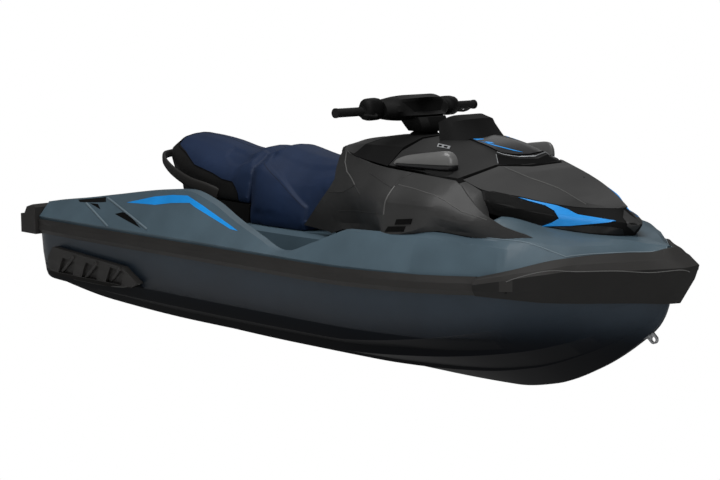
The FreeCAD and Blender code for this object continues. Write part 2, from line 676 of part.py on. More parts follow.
def tube(points, radius, bend):
    """A round bar through corner points: straight pieces joined by bends of one radius."""
    points = [Vector(*p) for p in points]
    pieces = []
    last = points[0]
    for before, corner, after in zip(points, points[1:], points[2:]):
        back = (before - corner).normalize()
        ahead = (after - corner).normalize()
        half = back.getAngle(ahead) / 2
        start = corner + back * (bend / math.tan(half))
        centre = corner + (back + ahead).normalize() * (bend / math.sin(half))
        pieces.append(rod(last, start, radius))
        disc = Part.Face(Part.Wire([Part.makeCircle(radius, start, back)]))
        pieces.append(disc.revolve(centre, ahead.cross(back), 180 - math.degrees(half * 2)))
        last = corner + ahead * (bend / math.tan(half))
    pieces.append(rod(last, points[-1], radius))
    return pieces[0].fuse(pieces[1:]).removeSplitter()


def rod(a, b, radius):
    a, b = Vector(*a), Vector(*b)
    return Part.makeCylinder(radius, (b - a).Length, a, b - a)


COLUMN = Vector(-math.sin(math.radians(S.column_tilt)), 0, math.cos(math.radians(S.column_tilt)))
COLUMN_FOOT = Vector(S.column_x, 0, S.column_height)


# PartDesign: bodies whose sketches and features are bound to the sheet


def new_body(label):
    body = doc.addObject("PartDesign::Body", label)
    body.Label = label
    return body


def plane_sketch(body, plane, offset=0):
    """A sketch on one of the body's own planes, moved along its normal."""
    sketch = body.newObject("Sketcher::SketchObject", "Sketch")
    support = [item for item in body.Origin.OriginFeatures if item.Role == plane][0]
    sketch.AttachmentSupport = [(support, "")]
    sketch.MapMode = "FlatFace"
    offset = as_dim(offset)
    sketch.AttachmentOffset = Placement(Vector(0, 0, offset.value), Rotation())
    if offset.text != "0":
        sketch.setExpression("AttachmentOffset.Base.z", offset.text)
    return sketch


def bind(sketch, kind, *where, value):
    value = as_dim(value)
    index = sketch.addConstraint(Sketcher.Constraint(kind, *where, value.value))
    if "Sizes" in value.text:
        sketch.setExpression(f"Constraints[{index}]", value.text)


def pin(sketch, geometry, end, x, y):
    """Holds a sketch point at a bound distance from the origin."""
    for kind, value, axis in (("DistanceX", as_dim(x), -2), ("DistanceY", as_dim(y), -1)):
        if value.value == 0:
            sketch.addConstraint(Sketcher.Constraint("PointOnObject", geometry, end, axis))
        else:
            bind(sketch, kind, -1, 1, geometry, end, value=value)


def add_polygon(sketch, points):
    points = [(as_dim(x), as_dim(y)) for x, y in points]
    first = sketch.GeometryCount
    ends = points[1:] + points[:1]
    for (x0, y0), (x1, y1) in zip(points, ends):
        line = Part.LineSegment(Vector(x0.value, y0.value, 0), Vector(x1.value, y1.value, 0))
        sketch.addGeometry(line, False)
    count = len(points)
    for i in range(count):
        sketch.addConstraint(Sketcher.Constraint("Coincident", first + i, 2, first + (i + 1) % count, 1))
    for i, (x, y) in enumerate(points):
        pin(sketch, first + i, 1, x, y)


def add_circle(sketch, x, y, radius):
    x, y, radius = as_dim(x), as_dim(y), as_dim(radius)
    circle = Part.Circle(Vector(x.value, y.value, 0), Vector(0, 0, 1), radius.value)
    index = sketch.addGeometry(circle, False)
    bind(sketch, "Radius", index, value=radius)
    if x.value == 0 and y.value == 0:
        sketch.addConstraint(Sketcher.Constraint("Coincident", index, 3, -1, 1))
    else:
        pin(sketch, index, 3, x, y)


def pad(body, sketch, length, symmetric=False, reverse=False, kind="PartDesign::Pad"):
    length = as_dim(length)
    item = body.newObject(kind, "Pad" if kind.endswith("Pad") else "Pocket")
    item.Profile = sketch
    item.Length = length.value
    if "Sizes" in length.text:
        item.setExpression("Length", length.text)
    if symmetric:
        item.Midplane = True
    item.Reversed = reverse
    doc.recompute()
    return item


def pocket(body, sketch, length, symmetric=False, reverse=False):
    before = body.Shape.Volume
    item = pad(body, sketch, length, symmetric, reverse, "PartDesign::Pocket")
    if body.Shape.Volume > before - 1:
        raise ValueError(f"{body.Label}: pocket removes nothing")
    return item


def revolve(body, sketch, axis, kind="PartDesign::Revolution"):
    item = body.newObject(kind, kind.split("::")[1])
    item.Profile = sketch
    item.ReferenceAxis = (sketch, [axis])
    item.Angle = 360
    doc.recompute()
    return item


def around(body, items, sketch, count):
    """Repeats items round the normal of a sketch."""
    pattern = body.newObject("PartDesign::PolarPattern", "PolarPattern")
    pattern.Originals = items
    pattern.Axis = (sketch, ["N_Axis"])
    pattern.Angle = 360
    pattern.Occurrences = count
    body.Tip = pattern
    doc.recompute()
    return pattern


# Jet drive: turned parts drawn in the XZ plane about their own axis, then moved up to the drive line


def drive_part(body):
    """Turned parts are drawn about X at height zero; this lifts them onto the drive line."""
    put(body, body.Label)
    body.setExpression("Placement.Base.z", "Sizes.drive_height - Sizes.draft")


def turned(label, profile):
    body = new_body(label)
    sketch = plane_sketch(body, "XZ_Plane")
    add_polygon(sketch, profile)
    revolve(body, sketch, "H_Axis")
    return body


def make_pump_housing():
    bore = B.pump_radius - B.pump_wall
    rear = B.pump_front - B.pump_length
    mouth = B.nozzle_radius + B.nozzle_wall + 4
    body = turned("pump_housing", [
        (rear, mouth - 12), (rear, mouth), (rear + 110, B.pump_radius), (B.pump_front - 12, B.pump_radius),
        (B.pump_front - 12, B.pump_radius + 16), (B.pump_front, B.pump_radius + 16), (B.pump_front, bore),
        (rear + 110, bore),
    ])
    ears = plane_sketch(body, "XY_Plane", B.pump_radius - 26)
    add_polygon(ears, [(rear - 50, -26), (rear - 50, 26), (rear + 60, 26), (rear + 60, -26)])
    pad(body, ears, 20)
    lower = plane_sketch(body, "XY_Plane", -(B.pump_radius - 26))
    add_polygon(lower, [(rear - 50, -26), (rear - 50, 26), (rear + 60, 26), (rear + 60, -26)])
    pad(body, lower, 20, reverse=True)
    pins = plane_sketch(body, "XY_Plane")
    add_circle(pins, B.nozzle_pivot, 0, B.pin_radius + B.pin_clearance)
    pocket(body, pins, B.pump_radius * 2 + 20, symmetric=True)
    drive_part(body)
    return body


def make_nozzle():
    front = B.nozzle_pivot + 12
    rear = B.nozzle_pivot - B.nozzle_length
    outer = B.nozzle_radius
    body = turned("steering_nozzle", [
        (rear, outer - B.nozzle_wall - 8), (rear, outer - 8), (B.nozzle_pivot - 20, outer), (front, outer),
        (front, outer - B.nozzle_wall), (B.nozzle_pivot - 20, outer - B.nozzle_wall),
    ])
    reach = B.pump_radius - 8
    for turn in (1, -1):
        pin_sketch = plane_sketch(body, "XY_Plane", (outer - 4) * turn)
        add_circle(pin_sketch, B.nozzle_pivot, 0, B.pin_radius)
        pad(body, pin_sketch, reach - outer, reverse=turn < 0)
        side = plane_sketch(body, "XZ_Plane", (outer - 5) * turn)
        add_circle(side, B.gate_pivot, 0, B.pin_radius)
        pad(body, side, B.gate_width / 2 - outer + 8, reverse=turn < 0)
    drive_part(body)
    return body


def make_gate():
    half = S.gate_width / 2
    wall = S.gate_wall
    pivot = Vector(S.gate_pivot, 0, S.drive_height)
    outer = Part.makeCylinder(S.gate_radius, half * 2, pivot + Vector(0, -half, 0), Vector(0, 1, 0))
    inner = Part.makeCylinder(S.gate_radius - wall, half * 2, pivot + Vector(0, -half, 0), Vector(0, 1, 0))
    lower, upper = math.radians(42), math.radians(108)
    far = S.gate_radius * 1.6
    corners = [pivot, pivot + Vector(-math.cos(lower) * far, 0, math.sin(lower) * far),
               pivot + Vector(-math.cos(upper) * far, 0, math.sin(upper) * far)]
    wedge = prism([(p.x, p.z) for p in corners], -half, half)
    scoop = outer.cut(inner).common(wedge)
    for turn in (1, -1):
        y0, y1 = sorted((turn * half, turn * (half - wall)))
        boss = Part.makeCylinder(24, wall, Vector(pivot.x, y0, pivot.z), Vector(0, 1, 0))
        scoop = scoop.fuse([wedge.common(outer).common(box(-500, 900, y0, y1, -500, 900)), boss])
    hole = Part.makeCylinder(S.pin_radius + S.pin_clearance, half * 4, pivot + Vector(0, -half * 2, 0),
                             Vector(0, 1, 0))
    return scoop.cut(hole).removeSplitter()


def make_impeller():
    front = B.intake_front + 44
    body = turned("impeller", [
        (500, 0), (500, 18), (520, B.hub_radius), (600, B.hub_radius), (620, B.shaft_radius),
        (front, B.shaft_radius), (front, 0),
    ])
    blade = plane_sketch(body, "YZ_Plane", 520)
    add_polygon(blade, [(-4, B.hub_radius - 6), (4, B.hub_radius - 6), (6, B.impeller_radius),
                        (-6, B.impeller_radius)])
    fin = pad(body, blade, 74)
    around(body, [fin], blade, 4)
    drive_part(body)
    return body


def make_ride_plate():
    body = new_body("ride_plate")
    side = B.tunnel_half_width
    sketch = plane_sketch(body, "YZ_Plane", B.transom + 6)
    add_polygon(sketch, [
        (-side, 120), (-side, 66), (-side + 34, 48), (side - 34, 48), (side, 66), (side, 120),
        (side - 8, 120), (side - 8, 71), (side - 38, 58), (-side + 38, 58), (-side + 8, 71), (-side + 8, 120),
    ])
    pad(body, sketch, B.tunnel_front - B.transom - 46)
    return put(body, "ride_plate")


def make_grate():
    bars = [box(S.tunnel_front, S.intake_front - 30, y - 4, y + 4, 36, 50) for y in (-66, -33, 0, 33, 66)]
    ties = [box(x, x + 14, -S.intake_half_width + 4, S.intake_half_width - 4, 38, 48)
            for x in (S.tunnel_front + 2, S.intake_front - 46)]
    return bars[0].fuse(bars[1:] + ties).removeSplitter()


def make_step():
    half = S.step_half_width
    x, z = S.step_hinge_x, S.step_hinge_z
    top = z + S.step_height
    r = S.step_tube
    arms = [rod((x, turn * half, z), (x, turn * half, top), r) for turn in (1, -1)]
    bar_part = rod((x, -half - r, top), (x, half + r, top), r)
    hinge = [rod((x, turn * (half - 14), z), (x, turn * (half + 38), z), r) for turn in (1, -1)]
    tread = box(x - 8, x + 8, -half + 20, half - 20, top - 34, top + 10)
    return bar_part.fuse(arms + hinge + [tread]).removeSplitter()


def make_step_bracket():
    """Two lugs on one plate against the transom, bored for the step's hinge rods."""
    y = S.step_half_width + 28
    x, z = S.step_hinge_x, S.step_hinge_z
    outline = [(S.transom, z - 34), (S.transom, z + 34), (x + 4, z + 22), (x - 18, z + 10),
               (x - 18, z - 10), (x + 4, z - 22)]
    lug = prism(outline, y, y + 12)
    plate = box(S.transom - 6, S.transom, y, y + 44, z - 34, z + 34)
    bore = rod((x, y - 40, z), (x, y + 60, z), S.step_tube + S.pin_clearance)
    return lug.fuse([plate]).cut(bore).removeSplitter()


# Grab handle: rows of x, y and height above the rear seat's base

HANDLE = [(1065, 226, 24), (1005, 243, 46), (900, 250, 67), (770, 240, 107), (655, 206, 152),
          (598, 150, 174), (578, 60, 178)]


def make_grab_handle():
    """A flat rounded bar swept round the back of the seat, one ring of points at each corner."""
    path = [place(x, -y, REAR_BASE + z) for x, y, z in HANDLE]
    path += [place(x, y, REAR_BASE + z) for x, y, z in reversed(HANDLE)]
    tall, thick = S.handle_height / 2, S.handle_thickness / 2
    rings = []
    for i, point in enumerate(path):
        along = path[min(i + 1, len(path) - 1)] - path[max(i - 1, 0)]
        across = along.cross(Vector(0, 0, 1)).normalize()
        up = across.cross(along).normalize()
        outline = [(1, 0.6), (0.5, 1), (-0.5, 1), (-1, 0.6), (-1, -0.6), (-0.5, -1), (0.5, -1), (1, -0.6)]
        rings.append([point + across * (a * thick) + up * (b * tall) for a, b in outline])
    return skin(rings)


def make_eye(x, z, out, across):
    """A plate eye on a flange, which reaches along out and is bored along across."""
    foot = Vector(x, 0, z)
    middle = foot + out * 28
    half = S.eye_thickness / 2
    side = out.cross(across)
    head = S.eye_radius + 7
    blade = plate(foot, out * 28, side * head, across * half)
    flange = plate(foot, out * 6, side * 26, across * 14)
    crown = Part.makeCylinder(head, half * 2, middle - across * half, across)
    hole = Part.makeCylinder(S.eye_radius, 60, middle - across * 30, across)
    return blade.fuse([crown, flange]).cut(hole).removeSplitter()


def plate(foot, up, side, half):
    """A block that stands on foot: as tall as up, and as far as side and half to each side."""
    corners = [foot - side - half, foot - side - half + up, foot + side - half + up, foot + side - half]
    return Part.Face(Part.makePolygon(corners + [corners[0]])).extrude(half * 2)


def bar_path():
    x, z, y = S.bar_x, S.bar_height, S.bar_half_span
    inner = y - S.grip_length
    half = [(x, y - 4, z), (x, inner - 12, z), (x + 34, 110, z + 10)]
    return [(a, -b, c) for a, b, c in half] + [(a, b, c) for a, b, c in reversed(half)]


def make_grip(turn):
    y0 = turn * (S.bar_half_span - S.grip_length)
    y1 = turn * S.bar_half_span
    grip = rod((S.bar_x, y0, S.bar_height), (S.bar_x, y1, S.bar_height), S.grip_radius)
    flange = rod((S.bar_x, y0, S.bar_height), (S.bar_x, y0 + turn * 6, S.bar_height), S.grip_radius + 7)
    end = rod((S.bar_x, y1 - turn * 8, S.bar_height), (S.bar_x, y1, S.bar_height), S.grip_radius + 3)
    inner = (S.bar_x, y0 - turn, S.bar_height)
    bore = rod(inner, (S.bar_x, y1 - turn * 3, S.bar_height), S.bar_radius + 0.3)
    return grip.fuse([flange, end]).cut(bore).removeSplitter()


def on_column(height, radius, length):
    """A cylinder on the steering column's axis, from a height along it."""
    return Part.makeCylinder(radius, length, COLUMN_FOOT + COLUMN * height, COLUMN)


def make_bar_cover():
    side = [(2004, 1052), (2060, 1044), (2140, 1050), (2190, 1086), (2164, 1130), (2090, 1150),
            (2010, 1124)]
    core = prism(side, -120, 120)
    wing = prism([(2014, 1066), (2070, 1062), (2096, 1090), (2070, 1128), (2016, 1112)], -255, 255)
    neck = prism([(2054, 1056), (2077, 994), (2150, 1026), (2142, 1060)], -52, 52)
    stem = on_column(-45, S.column_radius, 107)
    return core.fuse([wing, neck, stem]).removeSplitter()


def make_neck():
    foot = COLUMN_FOOT - COLUMN * 30
    neck = Part.makeCone(S.neck_radius, S.neck_radius - 6, 47, foot, COLUMN)
    return neck.cut(on_column(-60, S.column_radius + S.pin_clearance, 200))


def make_windshield():
    low = [(2500, 0, 994), (2490, 50, 992), (2462, 100, 986), (2420, 146, 978), (2360, 170, 976)]
    mid = [(2440, 0, 1042), (2434, 46, 1041), (2416, 92, 1036), (2386, 134, 1026), (2340, 158, 1010)]
    top = [(2370, 0, 1072), (2368, 40, 1072), (2362, 80, 1071), (2350, 112, 1066), (2322, 132, 1044)]
    rows = []
    for half in (low, mid, top):
        half = [place(*point) for point in half]
        rows.append([Vector(p.x, -p.y, p.z) for p in reversed(half)] + half[1:])
    return panel(rows, 6)


def make_mirror():
    """A swept-back housing: a lower and an upper outline in plan."""
    low = [(2516, 232), (2496, 282), (2400, 338), (2312, 366), (2300, 358), (2400, 262)]
    wide = [(2524, 236), (2502, 290), (2402, 350), (2306, 380), (2288, 370), (2396, 262)]
    high = [(2500, 252), (2486, 284), (2404, 330), (2328, 356), (2318, 350), (2404, 270)]
    rings = []
    for outline, rear_z, front_z in ((low, 908, 915), (wide, 926, 934), (high, 966, 952)):
        rings.append([place(x, y, interpolate([2288, 2520], [rear_z, front_z], x)) for x, y in outline])
    return skin(rings)


def make_bin():
    x0 = S.lid_rear + 62
    x1 = x0 + S.bin_length - 4
    y = S.bin_half_width - 2
    w = S.bin_wall
    outer = box(x0, x1, -y, y, S.bin_floor, 850)
    inner = box(x0 + w, x1 - w, -y + w, y - w, S.bin_floor + w, 900)
    return outer.cut(inner)


def glovebox_lines(x0, x1, half, below):
    """The console's own surface near the centre line, lowered a little."""
    xs = stations(x0, x1, 4)
    rows = []
    for y in (-half, 0, half):
        lean = abs(y) / (155 * WIDE)
        row = []
        for x in xs:
            height = at(CONSOLE_MID, x)[1] * (1 - lean) + at(CONSOLE_TOP, x)[1] * lean
            row.append(Vector(x, y, height - below))
        rows.append(row)
    return rows


def make_glovebox():
    """An open tub with a lip under the console and ears that hold the lid's two hinge pins."""
    x, z = S.glove_hinge_x, S.glove_hinge_z
    above = panel(glovebox_lines(1870, x + 46, 130, 9.6), 60)
    outer = box(1896, x + 16, -94, 94, 840, 985).cut(above)
    lip = panel(glovebox_lines(1886, x + 26, 112, 9.6), -3)
    tub = outer.fuse([lip]).cut(box(1901, x + 11, -89, 89, 845, 1000))
    ears = []
    for turn in (1, -1):
        y0, y1 = sorted((turn * 82, turn * 90))
        ears.append(box(x - 6, x + 6, y0, y1, z - 20, z))
        ears.append(rod((x, y0, z), (x, y1, z), 6))
        ears.append(rod((x, turn * 62, z), (x, turn * 90, z), S.glove_pin))
    return tub.fuse(ears).removeSplitter()


def make_glovebox_lid():
    x, z = S.glove_hinge_x, S.glove_hinge_z
    lugs = []
    for turn in (1, -1):
        y0, y1 = sorted((turn * 66, turn * 76))
        lugs.append(box(x - 14, x, y0, y1, z - 4, z + 5.5))
        lugs.append(rod((x, y0, z), (x, y1, z), 5))
    plate = panel(glovebox_lines(1895, x - 9, 98, 0), -4)
    bore = rod((x, -90, z), (x, 90, z), S.glove_pin + S.pin_clearance)
    return plate.fuse(lugs).cut(bore).removeSplitter()


def make_platform_mat():
    outline = [place(x, y, PLAT) for x, y in ((150, -430), (560, -404), (560, 404), (150, 430))]
    return Part.Face(Part.makePolygon(outline + [outline[0]])).extrude(Vector(0, 0, S.mat_thickness))


def make_footwell_mat():
    plan = [(1196, 312), (2040, 350), (2040, 486), (1850, 490), (1525, 450), (1196, 428)]
    outline = [place(x, y, FLOOR) for x, y in plan]
    return Part.Face(Part.makePolygon(outline + [outline[0]])).extrude(Vector(0, 0, S.mat_thickness))


hull = make_hull()
feature("hull", hull)
feature("engine", make_engine())
deck = make_deck()
feature("deck", deck)
glovebox_opening = box(1889, S.glove_hinge_x + 16, -104, 104, 850, 1100)
console = make_console().cut([glovebox_opening, on_column(-80, S.column_radius + S.pin_clearance, 160)])
feature("console", console)
lid = make_lid()
feature("storage_lid", lid)
hood = make_hood()
feature("front_cover", hood)
nose = make_nose().cut([deck, hood])
feature("nose_grille", nose)
side_panel = largest(make_side_panel().cut([deck, console, hood, nose]))
feature("side_panel_port", side_panel)
feature("side_panel_starboard", mirror_y(side_panel))
rail = largest(make_rail().cut([hull, deck]))
feature("rub_rail_port", rail)
feature("rub_rail_starboard", mirror_y(rail))
feature("bow_bumper", largest(make_bow_bumper().cut([hull, deck])))
corner = largest(make_stern_corner().cut(hull))
feature("stern_bumper_port", corner)
feature("stern_bumper_starboard", mirror_y(corner))
sponson = largest(make_sponson().cut(hull))
feature("sponson_port", sponson)
feature("sponson_starboard", mirror_y(sponson))
rear_seat = make_seat(REAR_SEAT, REAR_BASE)
feature("passenger_seat", rear_seat)
seat_base = make_seat_base()
feature("seat_base", seat_base)
front_seat = make_seat(FRONT_SEAT, SEAT)
under_front = prism(SEAT_FRONT[1:4] + [(1868, 700), (2000, 700), (2000, 400), (1655, 400)], -400, 400)
feature("driver_seat", largest(front_seat.cut([under_front, console])))
make_pump_housing()
make_nozzle()
make_impeller()
make_ride_plate()
feature("reverse_gate", make_gate())
feature("intake_grate", make_grate().cut(hull))
feature("boarding_step", make_step())
bracket = make_step_bracket()
feature("step_bracket_port", bracket)
feature("step_bracket_starboard", mirror_y(bracket))
feature("grab_handle", largest(make_grab_handle().cut([rear_seat, seat_base])))
feature("tow_eye", make_eye(116, S.platform_height, Vector(0, 0, 1), Vector(1, 0, 0)))
below = Vector(math.cos(math.radians(42)), 0, -math.sin(math.radians(42)))
feature("bow_eye", largest(make_eye(3248, 303, below, Vector(0, 1, 0)).cut(hull)))
feature("handlebar", tube(bar_path(), S.bar_radius, 45))
feature("grip_port", make_grip(1))
feature("grip_starboard", make_grip(-1))
feature("handlebar_cover", make_bar_cover().cut(tube(bar_path(), S.bar_radius + 0.4, 45)))
feature("steering_neck", max(make_neck().cut(console).Solids, key=lambda solid: solid.BoundBox.ZMax))
feature("windshield", largest(make_windshield().cut(lid)))
mirror_part = largest(make_mirror().cut(lid))
feature("mirror_port", mirror_part)
feature("mirror_starboard", mirror_y(mirror_part))
feature("storage_bin", make_bin())
feature("glovebox", largest(make_glovebox().cut(console)))
feature("glovebox_lid", make_glovebox_lid())
feature("platform_mat", make_platform_mat())
mat = make_footwell_mat()
feature("footwell_mat_port", mat)
feature("footwell_mat_starboard", mirror_y(mat))

doc.recompute()
faults = []
os.makedirs("parts", exist_ok=True)
for obj in doc.Objects:
    if "Invalid" in obj.State or "Error" in obj.State:
        faults.append(f"{obj.Label} {obj.State}")
for obj in sub_parts:
    if obj.Shape.isNull() or not obj.Shape.isValid():
        faults.append(f"{obj.Label} shape")
    else:
        obj.Shape.exportStep(f"parts/{obj.Label}.step")
print(len(sub_parts), "sub-parts", faults)
if faults:
    raise SystemExit(str(faults))
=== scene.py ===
import bpy
import bmesh
import json
import math
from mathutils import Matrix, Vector
from mathutils.bvhtree import BVHTree
from mathutils.geometry import delaunay_2d_cdt


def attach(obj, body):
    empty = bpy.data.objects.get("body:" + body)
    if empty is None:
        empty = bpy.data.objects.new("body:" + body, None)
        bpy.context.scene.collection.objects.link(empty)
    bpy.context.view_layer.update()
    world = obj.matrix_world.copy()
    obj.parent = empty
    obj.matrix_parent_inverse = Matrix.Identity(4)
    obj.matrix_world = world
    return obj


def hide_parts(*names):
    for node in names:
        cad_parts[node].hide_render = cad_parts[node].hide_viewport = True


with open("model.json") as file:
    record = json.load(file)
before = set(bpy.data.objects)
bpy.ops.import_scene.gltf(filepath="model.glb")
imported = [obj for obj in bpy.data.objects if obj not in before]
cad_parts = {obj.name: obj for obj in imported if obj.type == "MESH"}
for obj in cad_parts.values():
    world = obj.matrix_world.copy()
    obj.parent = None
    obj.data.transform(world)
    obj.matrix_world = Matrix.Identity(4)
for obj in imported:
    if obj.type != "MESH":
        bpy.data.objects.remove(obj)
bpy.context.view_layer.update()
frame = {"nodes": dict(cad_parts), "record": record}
NODES = frame["nodes"]


# Names of the two sides: Y to port is positive
SIDES = ((1, "port"), (-1, "starboard"))
# The drawing's millimetres run X from the stern and Z from the keel; the frame's origin lies there
ORIGIN_X, ORIGIN_Z = 1725, 260


# Materials

def node(tree, kind, **values):
    """A shader node with some inputs set by name, with _ for a space."""
    made = tree.nodes.new("ShaderNode" + kind)
    for key, value in values.items():
        made.inputs[key.replace("_", " ")].default_value = value
    return made


def mixed(tree, factor, a, b):
    """A colour mix of two sockets or constant colours."""
    mix = node(tree, "Mix")
    mix.data_type = "RGBA"
    tree.links.new(factor, mix.inputs["Factor"])
    for name, value in (("A", a), ("B", b)):
        socket = next(s for s in mix.inputs if s.name == name and s.type == "RGBA")
        if isinstance(value, list):
            socket.default_value = value
        else:
            tree.links.new(value, socket)
    return next(s for s in mix.outputs if s.type == "RGBA")


def material(name, color, rough=0.5, metal=0.0, coat=0.0, bump=0.0, scale=400.0, vary=0.12, spec=0.5, low=None,
             z0=0.0, z1=0.1, second=None):
    """Moulded or painted surface: base colour with slight variation and a fine bump.

    low fades the colour downwards between two heights; second shows where the mesh's trim value is above 0."""
    mat = bpy.data.materials.new(name)
    mat.use_nodes = True
    tree = mat.node_tree
    link = tree.links.new
    bsdf = tree.nodes["Principled BSDF"]
    for key, value in (("Roughness", rough), ("Metallic", metal), ("Coat Weight", coat), ("Coat Roughness", 0.1),
                       ("Specular IOR Level", spec)):
        bsdf.inputs[key].default_value = value
    place = node(tree, "TexCoord").outputs["Object"]
    noise = node(tree, "TexNoise", Scale=6.0, Detail=3.0)
    link(place, noise.inputs["Vector"])
    ramp = node(tree, "ValToRGB")
    for stop, position, share in zip(ramp.color_ramp.elements, (0.3, 0.7), (1 - vary, 1 + vary)):
        stop.position = position
        stop.color = [min(1, c * share) for c in color] + [1]
    link(noise.outputs["Fac"], ramp.inputs["Fac"])
    out = ramp.outputs["Color"]
    if low:
        parts = node(tree, "SeparateXYZ")
        link(place, parts.inputs["Vector"])
        fade = node(tree, "MapRange", From_Min=z0, From_Max=z1)
        fade.interpolation_type = "SMOOTHSTEP"
        link(parts.outputs["Z"], fade.inputs["Value"])
        out = mixed(tree, fade.outputs["Result"], [*low, 1], out)
    if second:
        trim = node(tree, "Attribute")
        trim.attribute_name = "trim"
        edge = node(tree, "MapRange", From_Min=-0.4, From_Max=0.4)
        link(trim.outputs["Fac"], edge.inputs["Value"])
        out = mixed(tree, edge.outputs["Result"], out, [*second, 1])
    link(out, bsdf.inputs["Base Color"])
    if bump:
        fine = node(tree, "TexNoise", Scale=scale, Detail=2.0)
        link(place, fine.inputs["Vector"])
        relief = node(tree, "Bump", Strength=bump, Distance=0.001)
        link(fine.outputs["Fac"], relief.inputs["Height"])
        link(relief.outputs["Normal"], bsdf.inputs["Normal"])
    return mat


MATS = {
    "hull": material("hull_gelcoat", (0.013, 0.024, 0.037), 0.45, coat=0.08, spec=0.25, bump=0.02, scale=60,
                     low=(0.002, 0.0035, 0.007), z0=-0.08, z1=0.19),
    "deck": material("deck_gelcoat", (0.062, 0.097, 0.122), 0.5, coat=0.06, bump=0.03, scale=120, spec=0.3),
    "bumper": material("bumper_moulding", (0.017, 0.016, 0.015), 0.62, bump=0.12, scale=900, spec=0.3),
    "panel": material("panel_moulding", (0.028, 0.028, 0.0278), 0.5, coat=0.05, bump=0.04, scale=500, spec=0.3),
    "black_trim": material("black_moulding", (0.0035, 0.0035, 0.0035), 0.6, bump=0.1, scale=900, spec=0.14),
    "matte_black": material("matte_black", (0.004, 0.004, 0.004), 0.65, bump=0.05, scale=900, spec=0.1),
    "lid_dark": material("lid_moulding", (0.0145, 0.0145, 0.0144), 0.55, bump=0.04, scale=500, spec=0.2),
    "bumper_underside_painted_shade": material("bumper_underside_painted_shade", (0.009, 0.0087, 0.0083), 0.62, bump=0.12, scale=900, spec=0.2),
    # Light grey for thin lines along creases and edges: painted highlight
    "painted_highlight_line": material("painted_highlight_line", (0.085, 0.085, 0.083), 0.4, bump=0.02, spec=0.4),
    # A lighter copy of the deck colour for light bands and ridges: painted highlight
    "deck_painted_highlight": material("deck_painted_highlight", (0.13, 0.175, 0.205), 0.45, coat=0.12, bump=0.02, scale=120, spec=0.35),
    "floor": material("studio_floor", (0.8, 0.8, 0.8), 0.8, bump=0.05, scale=40, vary=0.02, spec=0.1),
    # Near black: the real colour of seat piping and seams, and painted shade in slots, holes, recesses and gaps
    "void": material("deep_black", (0.0015, 0.0015, 0.0015), 0.8, bump=0.05, spec=0.1),
    "gloss_black": material("gloss_black", (0.004, 0.004, 0.004), 0.3, coat=0.15, bump=0.02, spec=0.3),
    "accent": material("accent_gloss", (0.008, 0.27, 0.74), 0.45, coat=0.1, bump=0.01, spec=0.3),
    "seat_cover": material("seat_vinyl", (0.0085, 0.0205, 0.056), 0.6, bump=0.3, scale=700, spec=0.25,
                           second=(0.0075, 0.0072, 0.007)),
    "mat": material("deck_mat", (0.02, 0.02, 0.022), 0.85, bump=0.3, scale=300),
    "grip": material("grip_rubber", (0.007, 0.007, 0.007), 0.75, spec=0.2, bump=0.2, scale=500),
    "metal": material("stainless", (0.55, 0.56, 0.57), 0.3, metal=1.0, bump=0.03, scale=300),
    "drive": material("cast_alloy", (0.3, 0.31, 0.32), 0.45, metal=0.9, bump=0.1, scale=250),
    "screen": material("dark_gloss", (0.005, 0.005, 0.0056), 0.32, coat=0.12, bump=0.01, spec=0.3),
    "engine_block": material("engine_alloy", (0.3, 0.3, 0.3), 0.5, metal=0.8, bump=0.1),
    "mirror_top_painted_highlight": material("mirror_gloss", (0.115, 0.115, 0.113), 0.3, coat=0.3, bump=0.01, spec=0.4),
    "bright_trim": material("bright_trim", (0.34, 0.35, 0.36), 0.3, metal=0.7),
}
for part in frame["record"]["subparts"]:
    obj = NODES[part["node"]]
    if not obj.material_slots:
        obj.data.materials.append(None)
    for s in obj.material_slots:
        s.material = MATS[part["material_slot"]]


# Guide lines of the solids, millimetres: X from the stern, Y to port, Z from the keel

KEEL = [(90, 60), (600, 34), (1150, 10), (1600, 0), (2300, 0), (2646, 8), (2844, 46), (3031, 134), (3208, 260),
    (3296, 350), (3329, 422), (3340, 482)]
EDGE = [(90, 420, 196), (150, 455, 190), (220, 472, 182), (600, 482, 148), (1200, 490, 135), (2100, 470, 140),
    (2500, 410, 165), (2850, 290, 215), (3100, 160, 295), (3270, 58, 385), (3340, 7, 486)]
CHINE = [(90, 502, 248), (150, 546, 242), (220, 563, 234), (600, 566, 225), (1200, 568, 222), (2100, 560, 225),
    (2500, 515, 265), (2850, 400, 330), (3100, 235, 390), (3280, 88, 446), (3340, 9, 494)]
BOND = [(0, 500, 465), (90, 526, 465), (150, 572, 465), (220, 591, 465), (1200, 607, 465), (2100, 600, 462),
    (2500, 573, 472), (2838, 494, 489), (2940, 447, 497), (3062, 356, 507), (3140, 274, 512), (3215, 180, 517),
    (3275, 100, 522), (3312, 46, 527), (3340, 12, 530)]
TROUGH = [(90, 80, 452), (600, 80, 452), (720, 84, 420), (980, 96, 345), (2060, 96, 345), (2200, 96, 362),
    (2330, 90, 440), (2480, 60, 468), (2850, 50, 486), (3300, 24, 520), (3340, 6, 528)]
DECK_SIDE = [(22, 560, 515), (180, 603, 520), (1200, 611, 520), (2100, 605, 512), (2500, 573, 518),
    (2838, 495, 530), (2945, 452, 560), (3075, 348, 600), (3158, 243, 614), (3228, 146, 618), (3283, 74, 621),
    (3322, 18, 635)]
GUNWALE_OUT = [(22, 535, 560), (180, 545, 585), (400, 528, 613), (600, 515, 643), (1000, 508, 699),
    (1190, 506, 714), (1350, 512, 680), (1525, 532, 616), (1700, 562, 567), (1850, 575, 525), (2050, 560, 587),
    (2200, 538, 640), (2330, 525, 645), (2500, 510, 648), (2720, 488, 644), (2850, 455, 637), (2960, 412, 626),
    (3090, 324, 611), (3200, 176, 626), (3270, 80, 624), (3322, 12, 640)]
